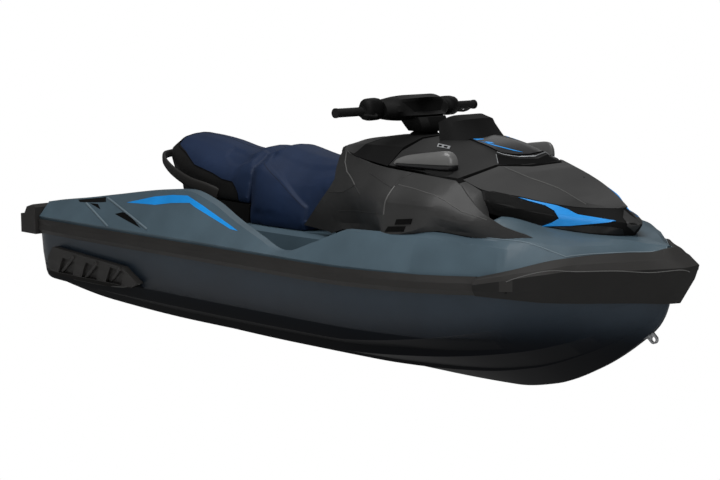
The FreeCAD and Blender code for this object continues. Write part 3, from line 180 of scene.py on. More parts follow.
GUNWALE_IN = [(22, 470, 560), (180, 470, 587), (400, 455, 616), (600, 448, 646), (1000, 455, 702),
    (1190, 462, 717), (1350, 470, 684), (1525, 492, 619), (1700, 525, 569), (1850, 540, 527), (2050, 532, 589),
    (2200, 512, 646), (2330, 505, 650), (2500, 486, 656), (2600, 462, 668), (2800, 414, 652), (2960, 384, 662),
    (3090, 290, 646), (3200, 150, 648), (3270, 60, 640), (3322, 8, 642)]
# Both edges of the footwell's floor: X, then Y and Z of each
FLOOR = [(22, 452, 505, 180, 505), (575, 426, 505, 240, 505), (720, 424, 470, 262, 470),
    (980, 432, 378, 284, 378), (1190, 438, 370, 300, 370), (1525, 462, 370, 322, 370),
    (1850, 505, 370, 330, 370), (2060, 500, 370, 335, 370), (2200, 480, 390, 345, 390),
    (2330, 470, 560, 362, 560), (2480, 460, 640, 430, 640), (2700, 400, 640, 380, 640),
    (2800, 376, 700, 350, 726), (2960, 300, 690, 236, 694), (3090, 200, 668, 128, 670),
    (3200, 110, 664, 60, 660), (3270, 44, 648, 26, 650), (3322, 6, 643, 4, 643)]
# Both edges of the hump that carries the seats, likewise
SADDLE = [(22, 170, 505, 140, 505), (575, 226, 505, 200, 505), (640, 226, 542, 210, 556),
    (720, 250, 542, 234, 556), (980, 272, 542, 258, 556), (1190, 284, 540, 270, 556),
    (1525, 304, 540, 280, 556), (1850, 312, 542, 286, 556), (2060, 318, 548, 290, 556),
    (2200, 330, 564, 300, 570), (2330, 345, 576, 310, 586), (2480, 400, 640, 360, 640),
    (2700, 350, 640, 320, 640), (2800, 330, 732, 300, 734), (2960, 200, 696, 160, 697),
    (3090, 96, 671, 60, 672), (3200, 36, 660, 18, 661), (3270, 16, 651, 8, 652), (3322, 2, 643, 1, 643)]
SHUT = [(1640, 257, 796), (1805, 271, 874), (1930, 293, 920), (2015, 310, 904), (2310, 388, 878),
    (2620, 381, 856), (2700, 394, 795), (2780, 404, 743), (2900, 384, 694), (3000, 334, 678)]
WAIST = [(1640, 290, 680), (1800, 308, 700), (2000, 350, 752), (2200, 436, 760), (2350, 486, 757),
    (2550, 486, 752), (2680, 456, 722), (2780, 418, 702), (2900, 386, 676), (3000, 335, 676)]
LOW = [(1640, 285, 575), (1900, 312, 600), (2070, 350, 612), (2200, 410, 624), (2350, 480, 638),
    (2420, 500, 642), (2540, 478, 674), (2600, 458, 683), (2800, 408, 664), (2900, 386, 664), (3000, 336, 670)]
SEAT_FRONT = [(1610, 480), (1655, 572), (1812, 716), (1868, 792), (1812, 872), (1760, 960)]
CONSOLE_EDGE = [(1760, 262, 858), (1805, 270, 880), (1930, 292, 926), (2015, 308, 910), (2262, 376, 889)]
CONSOLE_SHOULDER = [(1760, 205, 892), (1930, 240, 945), (2015, 248, 952), (2262, 282, 958)]
CONSOLE_TOP = [(1760, 110, 902), (1930, 145, 962), (2015, 155, 975), (2262, 172, 990)]
CONSOLE_MID = [(1760, 0, 906), (1930, 0, 966), (2015, 0, 980), (2262, 0, 996)]
LID_EDGE = [(2272, 376, 893), (2340, 371, 887), (2430, 363, 878), (2530, 354, 868), (2600, 346, 862)]
LID_SHOULDER = [(2272, 300, 944), (2360, 292, 944), (2470, 268, 934), (2570, 232, 920), (2664, 196, 908)]
LID_TOP = [(2272, 176, 984), (2400, 165, 984), (2520, 146, 964), (2640, 118, 934), (2748, 98, 908)]
LID_MID = [(2272, 0, 996), (2450, 0, 1000), (2600, 0, 986), (2720, 0, 956), (2828, 0, 920)]
HOOD_EDGE = [(2626, 344, 859), (2715, 340, 829), (2841, 267, 806), (2946, 202, 782), (3038, 100, 766),
    (3122, 8, 763)]
HOOD_CREASE = [(2680, 197, 904), (2760, 178, 882), (2850, 165, 853), (2940, 130, 820), (3031, 82, 778),
    (3126, 6, 765)]
HOOD_SPINE = [(2764, 96, 901), (2832, 60, 898), (2918, 44, 874), (3011, 36, 836), (3080, 20, 798),
    (3132, 4, 768)]
HOOD_MID = [(2844, 0, 916), (2884, 0, 905), (2950, 0, 882), (3011, 0, 856), (3085, 0, 812), (3138, 0, 770)]
NOSE_LOW = [(2740, 345, 747), (2819, 300, 724), (2948, 225, 694), (3060, 130, 674), (3135, 50, 662),
    (3158, 0, 660)]
NOSE_CREASE = [(2735, 350, 790), (2835, 302, 766), (2962, 218, 738), (3072, 114, 722), (3166, 40, 712),
    (3194, 0, 704)]
NOSE_TOP = [(2715, 340, 821), (2841, 266, 798), (2946, 200, 774), (3038, 98, 758), (3110, 16, 755),
    (3124, 0, 755)]
BUMPER = [[(2838, 497, 466), (2940, 450, 468), (3062, 359, 470), (3140, 277, 470), (3215, 183, 470),
    (3275, 103, 470), (3314, 50, 468), (3347, 0, 466)], [(2838, 498, 506), (2940, 452, 522), (3062, 360, 534),
    (3140, 278, 538), (3215, 184, 540), (3275, 104, 542), (3316, 50, 544), (3347, 0, 544)], [(2838, 500, 520),
    (2943, 456, 546), (3070, 358, 560), (3150, 262, 566), (3222, 168, 570), (3280, 88, 574), (3320, 26, 576),
    (3331, 0, 576)], [(2838, 500, 528), (2945, 456, 559), (3075, 351, 601), (3158, 246, 615), (3228, 149, 619),
    (3283, 77, 622), (3325, 20, 636), (3331, 0, 638)], [(2838, 512, 532), (2952, 468, 564), (3082, 358, 606),
    (3166, 254, 620), (3236, 156, 625), (3292, 84, 625), (3338, 24, 638), (3346, 0, 641)], [(2838, 536, 524),
    (2946, 492, 548), (3074, 412, 574), (3136, 334, 588), (3234, 228, 598), (3308, 140, 600), (3378, 56, 604),
    (3404, 0, 606)], [(2838, 545, 505), (2946, 500, 528), (3072, 426, 556), (3140, 340, 566), (3240, 236, 566),
    (3330, 132, 570), (3424, 44, 578), (3450, 0, 586)], [(2838, 542, 482), (2946, 498, 488), (3070, 422, 496),
    (3138, 336, 506), (3236, 230, 510), (3322, 126, 514), (3408, 44, 528), (3432, 0, 530)], [(2838, 528, 462),
    (2944, 486, 458), (3064, 402, 448), (3140, 318, 444), (3218, 222, 442), (3282, 128, 438), (3352, 46, 434),
    (3376, 0, 434)]]
REAR_SEAT = [(634, 150, 168, 150, 90, 206, 240, 251), (690, 178, 192, 168, 95, 206, 248, 262),
    (780, 196, 208, 186, 100, 192, 236, 257), (900, 214, 224, 196, 100, 172, 216, 243),
    (1040, 232, 236, 208, 90, 146, 191, 216), (1150, 240, 240, 212, 82, 138, 184, 206),
    (1220, 246, 244, 214, 80, 156, 206, 230), (1298, 250, 246, 214, 80, 166, 218, 242)]
FRONT_SEAT = [(1306, 262, 252, 214, 164, 250, 302, 326), (1345, 266, 256, 214, 156, 254, 308, 330),
    (1420, 272, 260, 208, 144, 232, 290, 321), (1500, 275, 258, 202, 134, 212, 268, 305),
    (1600, 272, 250, 198, 134, 202, 252, 287), (1700, 266, 242, 198, 144, 212, 256, 282),
    (1800, 262, 236, 196, 164, 234, 270, 288), (1862, 256, 228, 186, 184, 244, 274, 286)]
HANDLE = [(1065, 226, 24), (1005, 243, 46), (900, 250, 67), (770, 240, 107), (655, 206, 152), (598, 150, 174),
    (578, 60, 178)]
STATIONS = [22, 90, 150, 220, 300, 400, 500, 575, 640, 720, 800, 890, 980, 1085, 1190, 1300, 1400, 1525, 1700,
    1770, 1850, 1950, 2060, 2130, 2200, 2260, 2330, 2400, 2480, 2560, 2640, 2700, 2740, 2800, 2850, 2900, 2960,
    3020, 3062, 3090, 3140, 3200, 3228, 3275, 3312, 3322, 3340]


# Curves: the same monotone interpolation as the solids use

def slopes(xs, ys):
    steps = [(ys[i + 1] - ys[i]) / (xs[i + 1] - xs[i]) for i in range(len(xs) - 1)]
    out = [steps[0]]
    for a, b, i in zip(steps, steps[1:], range(1, len(xs) - 1)):
        if a * b <= 0:
            out.append(0.0)
            continue
        left, right = xs[i] - xs[i - 1], xs[i + 1] - xs[i]
        w1, w2 = 2 * right + left, right + 2 * left
        out.append((w1 + w2) / (w1 / a + w2 / b))
    out.append(steps[-1])
    return out


def interpolate(xs, ys, x):
    if x <= xs[0]:
        return ys[0]
    if x >= xs[-1]:
        return ys[-1]
    i = max(k for k in range(len(xs) - 1) if xs[k] <= x)
    gap = xs[i + 1] - xs[i]
    t = (x - xs[i]) / gap
    m = slopes(xs, ys)
    return ((1 + 2 * t) * (1 - t) ** 2 * ys[i] + t * (1 - t) ** 2 * gap * m[i]
            + t * t * (3 - 2 * t) * ys[i + 1] + t * t * (t - 1) * gap * m[i + 1])


def at(table, x):
    xs = [row[0] for row in table]
    return [interpolate(xs, [row[k] for row in table], x) for k in range(1, len(table[0]))]


def clamp(value):
    return max(0.0, min(1.0, value))


def steps(a, b, n):
    return [a + (b - a) * i / (n - 1) for i in range(n)]


def through(points, count):
    table = [(float(i), *point) for i, point in enumerate(points)]
    return [Vector(at(table, t)) for t in steps(0, len(points) - 1, count)]


def guide(table, xs):
    return [Vector((x, *at(table, x))) for x in xs]


def both_sides(lines):
    starboard = [[Vector((p.x, -p.y, p.z)) for p in line] for line in lines]
    return starboard + [list(line) for line in reversed(lines[:-1])]


def metres(p):
    """From the drawing's millimetres to the frame."""
    return Vector(((p[0] - ORIGIN_X) / 1000, p[1] / 1000, (p[2] - ORIGIN_Z) / 1000))


def drawn(p):
    """From the frame back to the drawing's millimetres."""
    return Vector((p[0] * 1000 + ORIGIN_X, p[1] * 1000, p[2] * 1000 + ORIGIN_Z))


# Meshes

def placed(name, data):
    obj = bpy.data.objects.new(name, data)
    bpy.context.collection.objects.link(obj)
    return obj


def mesh_of(name, verts, faces):
    """A mesh with shared corners whose faces look outwards."""
    me = bpy.data.meshes.new(name)
    me.from_pydata(verts, [], faces)
    me.validate()
    bm = bmesh.new()
    bm.from_mesh(me)
    bmesh.ops.remove_doubles(bm, verts=bm.verts, dist=1e-5)
    bmesh.ops.recalc_face_normals(bm, faces=bm.faces)
    bm.to_mesh(me)
    bm.free()
    return me


def modify(obj, kind, **values):
    mod = obj.modifiers.new(kind.lower(), kind)
    for key, value in values.items():
        setattr(mod, key, value)
    return mod


def add_piece(name, verts, faces, mat, body="watercraft", slot=None, angle=28, bevel=0.0, mm=True):
    me = mesh_of(name, [metres(v) for v in verts] if mm else verts, faces)
    me.shade_smooth()
    me.set_sharp_from_angle(angle=math.radians(angle))
    obj = placed(name, me)
    me.materials.append(MATS[mat])
    if bevel:
        modify(obj, "BEVEL", width=bevel, segments=2, limit_method="ANGLE", angle_limit=math.radians(35))
    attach(obj, body)
    return obj


def ring_faces(rings):
    verts = [p for ring in rings for p in ring]
    n = len(rings[0])
    faces = []
    for i in range(len(rings) - 1):
        for j in range(n):
            k = (j + 1) % n
            faces.append((i * n + j, i * n + k, (i + 1) * n + k, (i + 1) * n + j))
    return verts, faces + [tuple(range(n)), tuple((len(rings) - 1) * n + j for j in range(n))]


def grid_faces(rows):
    verts = [p for row in rows for p in row]
    n = len(rows[0])
    return verts, [(i * n + j, i * n + j + 1, (i + 1) * n + j + 1, (i + 1) * n + j)
                   for i in range(len(rows) - 1) for j in range(n - 1)]


def set_in(lines, thickness):
    inner = []
    for j, line in enumerate(lines):
        row = []
        for i, point in enumerate(line):
            along = line[min(i + 1, len(line) - 1)] - line[max(i - 1, 0)]
            across = lines[min(j + 1, len(lines) - 1)][i] - lines[max(j - 1, 0)][i]
            row.append(point + along.cross(across).normalized() * thickness)
        inner.append(row)
    return inner


def closed_sheet(name, top, low, faces, mat, **kw):
    """Two skins of the same triangles, joined along their open edges."""
    n = len(top)
    edges = dict.fromkeys((a, b) for f in faces for a, b in zip(f, f[1:] + f[:1]))
    walls = [(a, n + a, n + b, b) for a, b in edges if (b, a) not in edges]
    back = [tuple(n + i for i in reversed(f)) for f in faces]
    return add_piece(name, top + low, list(faces) + back + walls, mat, mm=False, **kw)


def shell(name, lines, thickness, mat, **kw):
    """A thin closed panel through guide lines."""
    (top, faces), (low, _) = grid_faces(lines), grid_faces(set_in(lines, thickness))
    return closed_sheet(name, [metres(v) for v in top], [metres(v) for v in low], faces, mat, **kw)


def prism(outline, y0, y1):
    """A side-view outline pushed through from y0 to y1."""
    n = len(outline)
    verts = [(x, y, z) for y in (y0, y1) for x, z in outline]
    faces = [tuple(range(n)), tuple(range(2 * n - 1, n - 1, -1))]
    return verts, faces + [(i, (i + 1) % n, n + (i + 1) % n, n + i) for i in range(n)]


def cutter(outline, y0, y1):
    verts, faces = prism(outline, y0, y1)
    return placed("cutter", mesh_of("cutter", [metres(v) for v in verts], faces))


def box_cutter(x0, x1, y0, y1, z0, z1):
    return cutter([(x0, z0), (x1, z0), (x1, z1), (x0, z1)], y0, y1)


def apply_all(obj):
    """Bakes an object's modifiers into its mesh."""
    deps = bpy.context.evaluated_depsgraph_get()
    me = bpy.data.meshes.new_from_object(obj.evaluated_get(deps))
    old = obj.data
    obj.modifiers.clear()
    obj.data = me
    bpy.data.meshes.remove(old)


def cut(obj, cutters, angle=28):
    for tool in cutters:
        modify(obj, "BOOLEAN", operation="DIFFERENCE", solver="EXACT", object=tool)
    apply_all(obj)
    for tool in cutters:
        bpy.data.objects.remove(tool)
    obj.data.shade_smooth()
    obj.data.set_sharp_from_angle(angle=math.radians(angle))


def sweep(name, path, radius, mat, sides=12, **kw):
    """A bar along points in millimetres; radius may be one number or one for each point."""
    path = [Vector(p) for p in path]
    radii = radius if isinstance(radius, (list, tuple)) else [radius] * len(path)
    rings = []
    up = None
    for i, p in enumerate(path):
        along = (path[min(i + 1, len(path) - 1)] - path[max(i - 1, 0)]).normalized()
        if up is None:
            up = Vector((0, 0, 1)) if abs(along.z) < 0.9 else Vector((1, 0, 0))
        side = along.cross(up).normalized()
        up = side.cross(along).normalized()
        rings.append([p + side * (math.cos(2 * math.pi * k / sides) * radii[i])
                      + up * (math.sin(2 * math.pi * k / sides) * radii[i]) for k in range(sides)])
    verts, faces = ring_faces(rings)
    return add_piece(name, verts, faces, mat, **kw)


def bar(name, a, b, radius, mat, sides=20, **kw):
    a, b = Vector(a), Vector(b)
    return sweep(name, [a, a.lerp(b, 0.5), b], radius, mat, sides=sides, **kw)


# Hull and deck

def hull_half(x):
    keel = at(KEEL, x)[0]
    edge_y, edge_z = at(EDGE, x)
    chine_y, chine_z = at(CHINE, x)
    bond_y, bond_z = at(BOND, x)
    fade = clamp((3300 - x) / 900)
    strake_y = edge_y * 0.56
    strake_z = keel + (edge_z - keel) * 0.56
    side_y = chine_y + (bond_y - chine_y) * 0.62
    side_z = chine_z + (bond_z - chine_z) * 0.42
    trough_in, trough_z = at(TROUGH, x)
    return [
        (min(14, edge_y * 0.3), keel), (strake_y - 16 * fade, strake_z - 2 * fade),
        (strake_y, strake_z - 12 * fade), (strake_y + 8 * fade + 0.5, strake_z + 4 * fade + 0.5),
        (edge_y, edge_z), (edge_y + 14 * fade + 0.5, edge_z + 34 * fade + 0.5),
        (chine_y - 8 * fade, chine_z - 20 * fade), (chine_y, chine_z), (side_y, side_z),
        (bond_y, bond_z), (bond_y - 20 * fade - 4, bond_z), (bond_y - trough_in, trough_z),
    ]


def deck_half(x):
    bond_y, bond_z = at(BOND, x)
    trough_in, trough_z = at(TROUGH, x)
    fade = clamp((3300 - x) / 900)
    under = [(bond_y - trough_in - 0.4, trough_z + 0.4), (bond_y - 20 * fade - 4.4, bond_z + 0.4),
             (bond_y, bond_z + 0.4)]
    values = [value for table in (DECK_SIDE, GUNWALE_OUT, GUNWALE_IN, FLOOR, SADDLE) for value in at(table, x)]
    return under + list(zip(values[::2], values[1::2]))


def ring_at(x, half):
    mirrored = [(-y, z) for y, z in reversed(half) if y]
    return [Vector((x, y, z)) for y, z in half + mirrored]


def between(xs, parts):
    out = []
    for a, b in zip(xs, xs[1:]):
        out += [a + (b - a) * k / parts for k in range(parts)]
    return out + [xs[-1]]


hull_xs = between([x for x in STATIONS if 90 <= x <= 3340], 3)
hull = add_piece("hull_skin", *ring_faces([ring_at(x, hull_half(x)) for x in hull_xs]), "hull", angle=24)
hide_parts("hull")
cut(hull, [box_cutter(80, 720, -185, 185, -20, 340),
           cutter([(690, -40), (690, 265), (780, 270), (1180, -10), (1190, -40)], -95, 95)], angle=24)

deck_xs = between([x for x in STATIONS if x <= 3322], 3)
deck = add_piece("deck_skin", *ring_faces([ring_at(x, deck_half(x)) for x in deck_xs]), "deck", angle=24)
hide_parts("deck")
cut(deck, [box_cutter(2332, 2712, -235, 235, 520, 900), box_cutter(-10, 185, 467, 700, 300, 700),
           box_cutter(-10, 185, -700, -467, 300, 700)], angle=24)


# Front body

SKIN = 9  # thickness of the moulded panels
# Where each line of the console starts at the rear
CONSOLE_REAR = ((CONSOLE_EDGE, 1936), (CONSOLE_SHOULDER, 1890), (CONSOLE_TOP, 1842), (CONSOLE_MID, 1836))


def bvh_of(obj):
    deps = bpy.context.evaluated_depsgraph_get()
    return BVHTree.FromObject(obj.evaluated_get(deps), deps)


def around(rows):
    """Lines that run from starboard around the stem to port."""
    halves = [through(row, 40) for row in rows]
    return [[Vector((p.x, -p.y, p.z)) for p in half] + half[-2::-1] for half in halves]


console_lines = both_sides([guide(line, steps(rear_x, 2264, 40)) for line, rear_x in CONSOLE_REAR])
console = shell("console_skin", console_lines, -SKIN, "black_trim", angle=20)
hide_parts("console")
cut(console, [box_cutter(1889, 2008, -104, 104, 850, 1100)], angle=20)

lid_lines = both_sides([through(line, 40) for line in (LID_EDGE, LID_SHOULDER, LID_TOP, LID_MID)])
lid = shell("lid_skin", lid_lines, -SKIN, "lid_dark", body="storage_lid", slot="panel", angle=16)
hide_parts("storage_lid")

hood_lines = both_sides([through(line, 44) for line in (HOOD_EDGE, HOOD_CREASE, HOOD_SPINE, HOOD_MID)])
hood = shell("front_cover_skin", hood_lines, -SKIN, "panel", angle=16)
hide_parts("front_cover")

nose = shell("nose_grille_skin", around((NOSE_LOW, NOSE_CREASE, NOSE_TOP)), SKIN, "black_trim", angle=20)
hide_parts("nose_grille")

bumper = add_piece("bow_bumper_skin", *ring_faces([list(ring) for ring in zip(*around(BUMPER))]), "bumper",
                   angle=18, bevel=0.0025)
# The bumper's downward-facing faces take a darker copy of its colour: painted shade
bumper.data.materials.append(MATS["bumper_underside_painted_shade"])
for poly in bumper.data.polygons:
    if poly.normal.z < -0.05:
        poly.material_index = 1
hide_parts("bow_bumper")


# Seats

SEAT_BASE, REAR_BASE = 556, 640  # where the driver's and the passenger's cushion lie
SEAT_GRAIN = 0.009
CLOTH_FRAMES = 15


def seat_half(table, x, base):
    base_y, mid_y, shoulder_y, mid_z, shoulder_z, crown_z, top_z = at(table, x)
    heights = [(base_y, 0), (base_y + 4, 24), (mid_y, mid_z), ((mid_y + shoulder_y) / 2 + 4, shoulder_z - 24),
               (shoulder_y, shoulder_z), (shoulder_y * 0.62, crown_z), (shoulder_y * 0.3, top_z - 5), (0, top_z)]
    return [(y, base + z) for y, z in heights]


def padded_seat(name, table, base, cap, under=None, reach=0):
    """A cushion: the drawn form 1 mm smaller, remeshed, blown up as cloth and held within cap millimetres."""
    rings = []
    for x in steps(table[0][0] + 1, table[-1][0] - 1 + reach, 30):
        half = [(max(0, y - 1) if y else 0, max(base + 1, z - 1)) for y, z in seat_half(table, x, base)]
        rings.append(ring_at(x, half))
    obj = add_piece(name, *ring_faces(rings), "seat_cover", angle=180)
    if under:
        cut(obj, [cutter(under, -400, 400)], angle=180)
    modify(obj, "REMESH", mode="VOXEL", voxel_size=SEAT_GRAIN)
    apply_all(obj)
    start = [v.co.copy() for v in obj.data.vertices]
    cloth = modify(obj, "CLOTH")
    cloth.settings.use_pressure = True
    cloth.settings.uniform_pressure_force = 4.0
    cloth.settings.effector_weights.gravity = 0.0
    cloth.settings.quality = 4
    cloth.collision_settings.use_collision = False
    for frame_number in range(1, CLOTH_FRAMES + 1):
        bpy.context.scene.frame_set(frame_number)
    apply_all(obj)
    bpy.context.scene.frame_set(1)
    floor = (base - ORIGIN_Z) / 1000 + 0.0006
    for v, before in zip(obj.data.vertices, start):
        move = v.co - before
        if move.length > cap / 1000:
            v.co = before + move.normalized() * cap / 1000
        if before.z < floor + 0.004:
            v.co.z = floor
        else:
            v.co.z = max(v.co.z, floor)
    modify(obj, "SMOOTH", factor=0.5, iterations=6)
    modify(obj, "SUBSURF", levels=1, render_levels=1)
    apply_all(obj)
    obj.data.shade_smooth()
    return obj


under_front = [(x + 20, z) for x, z in SEAT_FRONT[1:4]] + [(1890, 700), (2000, 700), (2000, 400), (1675, 400)]
driver = padded_seat("driver_cushion", FRONT_SEAT, SEAT_BASE, 9, under=under_front, reach=18)
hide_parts("driver_seat")
rear = padded_seat("passenger_cushion", REAR_SEAT, REAR_BASE, 9)
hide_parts("passenger_seat")
# The seat's lower back slopes forward
for v in rear.data.vertices:
    v.co.x += 0.075 * clamp((0.575 - v.co.z) / 0.14) ** 1.5 * clamp((-0.865 - v.co.x) / 0.2)


# Pieces that follow another piece's surface

def nearest(trees, point, away):
    """The first surface met on coming back to a point from outside, or else the nearest one."""
    hits = [tree.ray_cast(point + away * 0.5, -away, 1.0) for tree in trees]
    hits = [h for h in hits if h[0] is not None]
    if not hits:
        hits = [tree.find_nearest(point) for tree in trees]
    place, normal, _, _ = min(hits, key=lambda h: h[3])
    return place, normal if normal.dot(away) > 0 else -normal


def inside(poly, x, z):
    hit = False
    for (x0, z0), (x1, z1) in zip(poly, poly[1:] + poly[:1]):
        if (z0 > z) != (z1 > z) and x < x0 + (z - z0) * (x1 - x0) / (z1 - z0):
            hit = not hit
    return hit


def apart(points, x, z):
    """Distance from a point to a line of points in side view."""
    best = 1e9
    for (x0, z0), (x1, z1) in zip(points, points[1:]):
        dx, dz = x1 - x0, z1 - z0
        t = clamp(((x - x0) * dx + (z - z0) * dz) / (dx * dx + dz * dz))
        best = min(best, math.hypot(x - x0 - dx * t, z - z0 - dz * t))
    return best


def dotted(points, gap):
    """The same line with more points, at most a gap apart."""
    out = []
    for a, b in zip(points, points[1:]):
        n = max(1, math.ceil(math.dist(a[:2], b[:2]) / gap))
        out += [[p + (q - p) * k / n for p, q in zip(a, b)] for k in range(n)]
    return out + [list(points[-1])]


def creased(outline, creases, grain):
    """A flat mesh in side view whose edges run along the outline and the creases.

    Returns points of (x, z, lift) and triangles; the lift runs evenly between the lines that give it."""
    closed = outline + outline[:1]
    points, lifts, edges = [], {}, []
    for line in [[(x, z, 0) for x, z in closed]] + creases:
        start = len(points)
        for x, z, lift in dotted(line, grain):
            lifts[(round(x, 1), round(z, 1))] = lift
            points.append((x, z))
        edges += [(i, i + 1) for i in range(start, len(points) - 1)]
        if start == 0:
            points.pop()
            edges[-1] = (len(points) - 1, 0)
    lines = [closed] + [[(x, z) for x, z, _ in crease] for crease in creases]
    xs, zs = zip(*outline)
    x = min(xs) + grain / 2
    while x < max(xs):
        z = min(zs) + grain / 2
        while z < max(zs):
            if inside(outline, x, z) and min(apart(line, x, z) for line in lines) > grain * 0.45:
                points.append((x, z))
            z += grain
        x += grain
    flat, _, faces, _, _, _ = delaunay_2d_cdt([Vector(p) for p in points], edges, [], 0, 1e-4)
    faces = [f for f in faces if inside(outline, sum(flat[i].x for i in f) / 3, sum(flat[i].y for i in f) / 3)]
    value = [lifts.get((round(p.x, 1), round(p.y, 1))) for p in flat]
    near = [set() for _ in flat]
    for f in faces:
        for a, b in zip(f, f[1:] + f[:1]):
            near[a].add(b)
            near[b].add(a)
    free = [i for i, v in enumerate(value) if v is None and near[i]]
    value = [v or 0.0 for v in value]
    for _ in range(160):
        for i in free:
            value[i] = sum(value[k] for k in near[i]) / len(near[i])
    return [(p.x, p.y, v) for p, v in zip(flat, value)], [tuple(f) for f in faces]


def decal(name, targets, outline, mat, lift=1.2, grain=14, mirror=True, away=None, **kw):
    """A thin plate on a surface, inside an outline of points near it, in millimetres."""
    away = away or ((0, -1, 0.35) if mirror else (0, 0, 1))
    trees = [bvh_of(t) for t in targets]
    for turn, word in (((1, "_starboard"), (-1, "_port")) if mirror else ((1, ""),)):
        outward = Vector((away[0], away[1] * turn, away[2])).normalized()
        across = outward.cross(Vector((0, 0, 1) if abs(outward.z) < 0.9 else (1, 0, 0))).normalized()
        up = across.cross(outward)
        near = [Vector((x, y * turn, z)) for x, y, z in outline]
        level = outward * (sum(p.dot(outward) for p in near) / len(near))
        flat, faces = creased([(p.dot(across), p.dot(up)) for p in near], [], grain)
        hits = [nearest(trees, metres(across * u + up * v + level), outward) for u, v, _ in flat]
        made = closed_sheet(name + word, [p + n * lift / 1000 for p, n in hits], [p - n * 0.0006 for p, n in hits],
                            faces, mat, **kw)
    return made


def on_top(tree, points, up=0.0):
    """Points on a surface over plan positions, in millimetres; those beside the surface are left out."""
    hits = [tree.ray_cast(metres((x, y, 1600)), Vector((0, 0, -1)))[0] for x, y in points]
    return [Vector((x, y, drawn(hit).z + up)) for (x, y), hit in zip(points, hits) if hit]


def on_side(tree, points, side, out=0.0):
    """Points on a surface's outside at side-view positions, in millimetres."""
    hits = [tree.ray_cast(metres((x, 900 * side, z)), Vector((0, -side, 0)))[0] for x, z in points]
    return [Vector((x, side * (abs(hit.y) * 1000 + out), z)) for (x, z), hit in zip(points, hits) if hit]


# Side panels, with the creases and the two slots

SIDE_FOOT = (1960, 2070, 2200, 2350, 2420, 2480, 2540, 2600, 2700, 2800, 2900, 2996)
SIDE_OUTLINE = [(1700, 591), (1852, 582), (1885, 577)] + [
    (x, at(LOW, x)[1] - (12 if x > 2100 else 3)) for x in SIDE_FOOT] + [
    (2940, 684), (2860, 707), (2780, 745), (2730, 776), (2690, 806), (2650, 840), (2616, 857), (2520, 865),
    (2310, 880), (2160, 890), (2015, 907), (1960, 926), (1935, 924), (1918, 898), (1908, 850), (1910, 806),
    (1884, 772), (1838, 727), (1770, 660),
]
# Points of X, Z and how far the surface rises there; the first nine creases get a bead, three of them in a light grey
# that is painted highlight
SIDE_CREASES = [
    [(1960, 926, 0), (1972, 880, 7), (2003, 845, 10), (2090, 800, 5)],
    [(1884, 750, 2), (1990, 760, 6), (2090, 800, 5)],
    [(2090, 800, 5), (2150, 768, 1)],
    [(2166, 857, 2), (2250, 842, 5), (2356, 817, 4)],
    [(2356, 817, 4), (2378, 853, 5), (2408, 871, 0)],
    [(2356, 817, 4), (2372, 823, 11), (2384, 829, 11)],
    [(2372, 823, 11), (2366, 770, 13), (2358, 716, 13)],
    [(2384, 829, 11), (2480, 820, 12), (2580, 806, 12), (2631, 789, 12), (2702, 752, 8), (2795, 727, 2)],
    [(1944, 678, -3), (2050, 690, -6), (2158, 700, -7), (2260, 708, -4), (2328, 716, 4), (2358, 716, 13)],
    [(1800, 650, 1), (1880, 640, -2), (1956, 628, -6), (2080, 640, -8), (2200, 655, -5)],
    [(2358, 716, 13), (2460, 722, 10), (2600, 726, 8), (2740, 706, 4)],
    [(2320, 648, 10), (2352, 644, 30), (2400, 646, 21), (2450, 652, 17), (2510, 668, 16), (2560, 690, 11),
     (2600, 704, 5)],
]
HIGHLIGHT_PAINTED_CREASES = (0, 6, 7)
SIDE_SLOTS = [[(2428, 684), (2433, 705), (2506, 713), (2500, 692)],
              [(2379, 653), (2395, 674), (2479, 683), (2473, 662)]]


def side_point(x, z):
    (low_y, low_z), (waist_y, waist_z), (shut_y, shut_z) = (at(line, x) for line in (LOW, WAIST, SHUT))
    if shut_z - waist_z < 12 or waist_z - low_z < 4:
        t = clamp((z - low_z) / max(1.0, shut_z - low_z))
        return low_y + (shut_y - low_y) * t
    return interpolate([low_z, waist_z, shut_z], [low_y, waist_y, shut_y], z)


side_flat, side_faces = creased(SIDE_OUTLINE, SIDE_CREASES, 15)
for side, word in SIDES:
    top = [metres((x, (side_point(x, z) + lift) * side, z)) for x, z, lift in side_flat]
    low = [metres((x, (side_point(x, z) + lift - 6) * side, z)) for x, z, lift in side_flat]
    faces = side_faces if side < 0 else [tuple(reversed(f)) for f in side_faces]
    piece = closed_sheet("side_panel_skin_" + word, top, low, faces, "panel", angle=12)
    tree = bvh_of(piece)
    for k, crease in enumerate(SIDE_CREASES[:9]):
        sweep("panel_crease_%d_%s" % (k, word), on_side(tree, [p[:2] for p in dotted(crease, 12)], side, -0.4),
              3 if k in (0, 6) else 2, "painted_highlight_line" if k in HIGHLIGHT_PAINTED_CREASES else "panel", sides=8, slot="panel")
    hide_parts("side_panel_" + word)
    # Each slot is a near-black plate on the panel: painted shade
    for k, slot in enumerate(SIDE_SLOTS):
        decal("side_slot_%d_%s" % (k, word), [piece], [(x, (side_point(x, z) + 8) * side, z) for x, z in slot],
              "void", lift=2.5, grain=6, mirror=False, away=(0, side, 0))

# Channels that close the shut lines from inside, near black: painted shade in the gaps
for side, word in SIDES:
    for name, line, x0, x1, section in (
            ("shut_line_channel_", SHUT, 1945, 2700,
             ((-9, -34), (-13, -8), (-48, 7), (-52, 3), (-18, -14), (-14, -36))),
            ("panel_skirt_", LOW, 1880, 2900,
             ((-8, 14), (-9, 2), (-30, -26), (-34, -24), (-14, 2), (-13, 16)))):
        rings = [[Vector((x, (at(line, x)[0] + dy) * side, at(line, x)[1] + dz)) for dy, dz in section]
                 for x in steps(x0, x1, 50)]
        add_piece(name + word, *ring_faces(rings), "void")

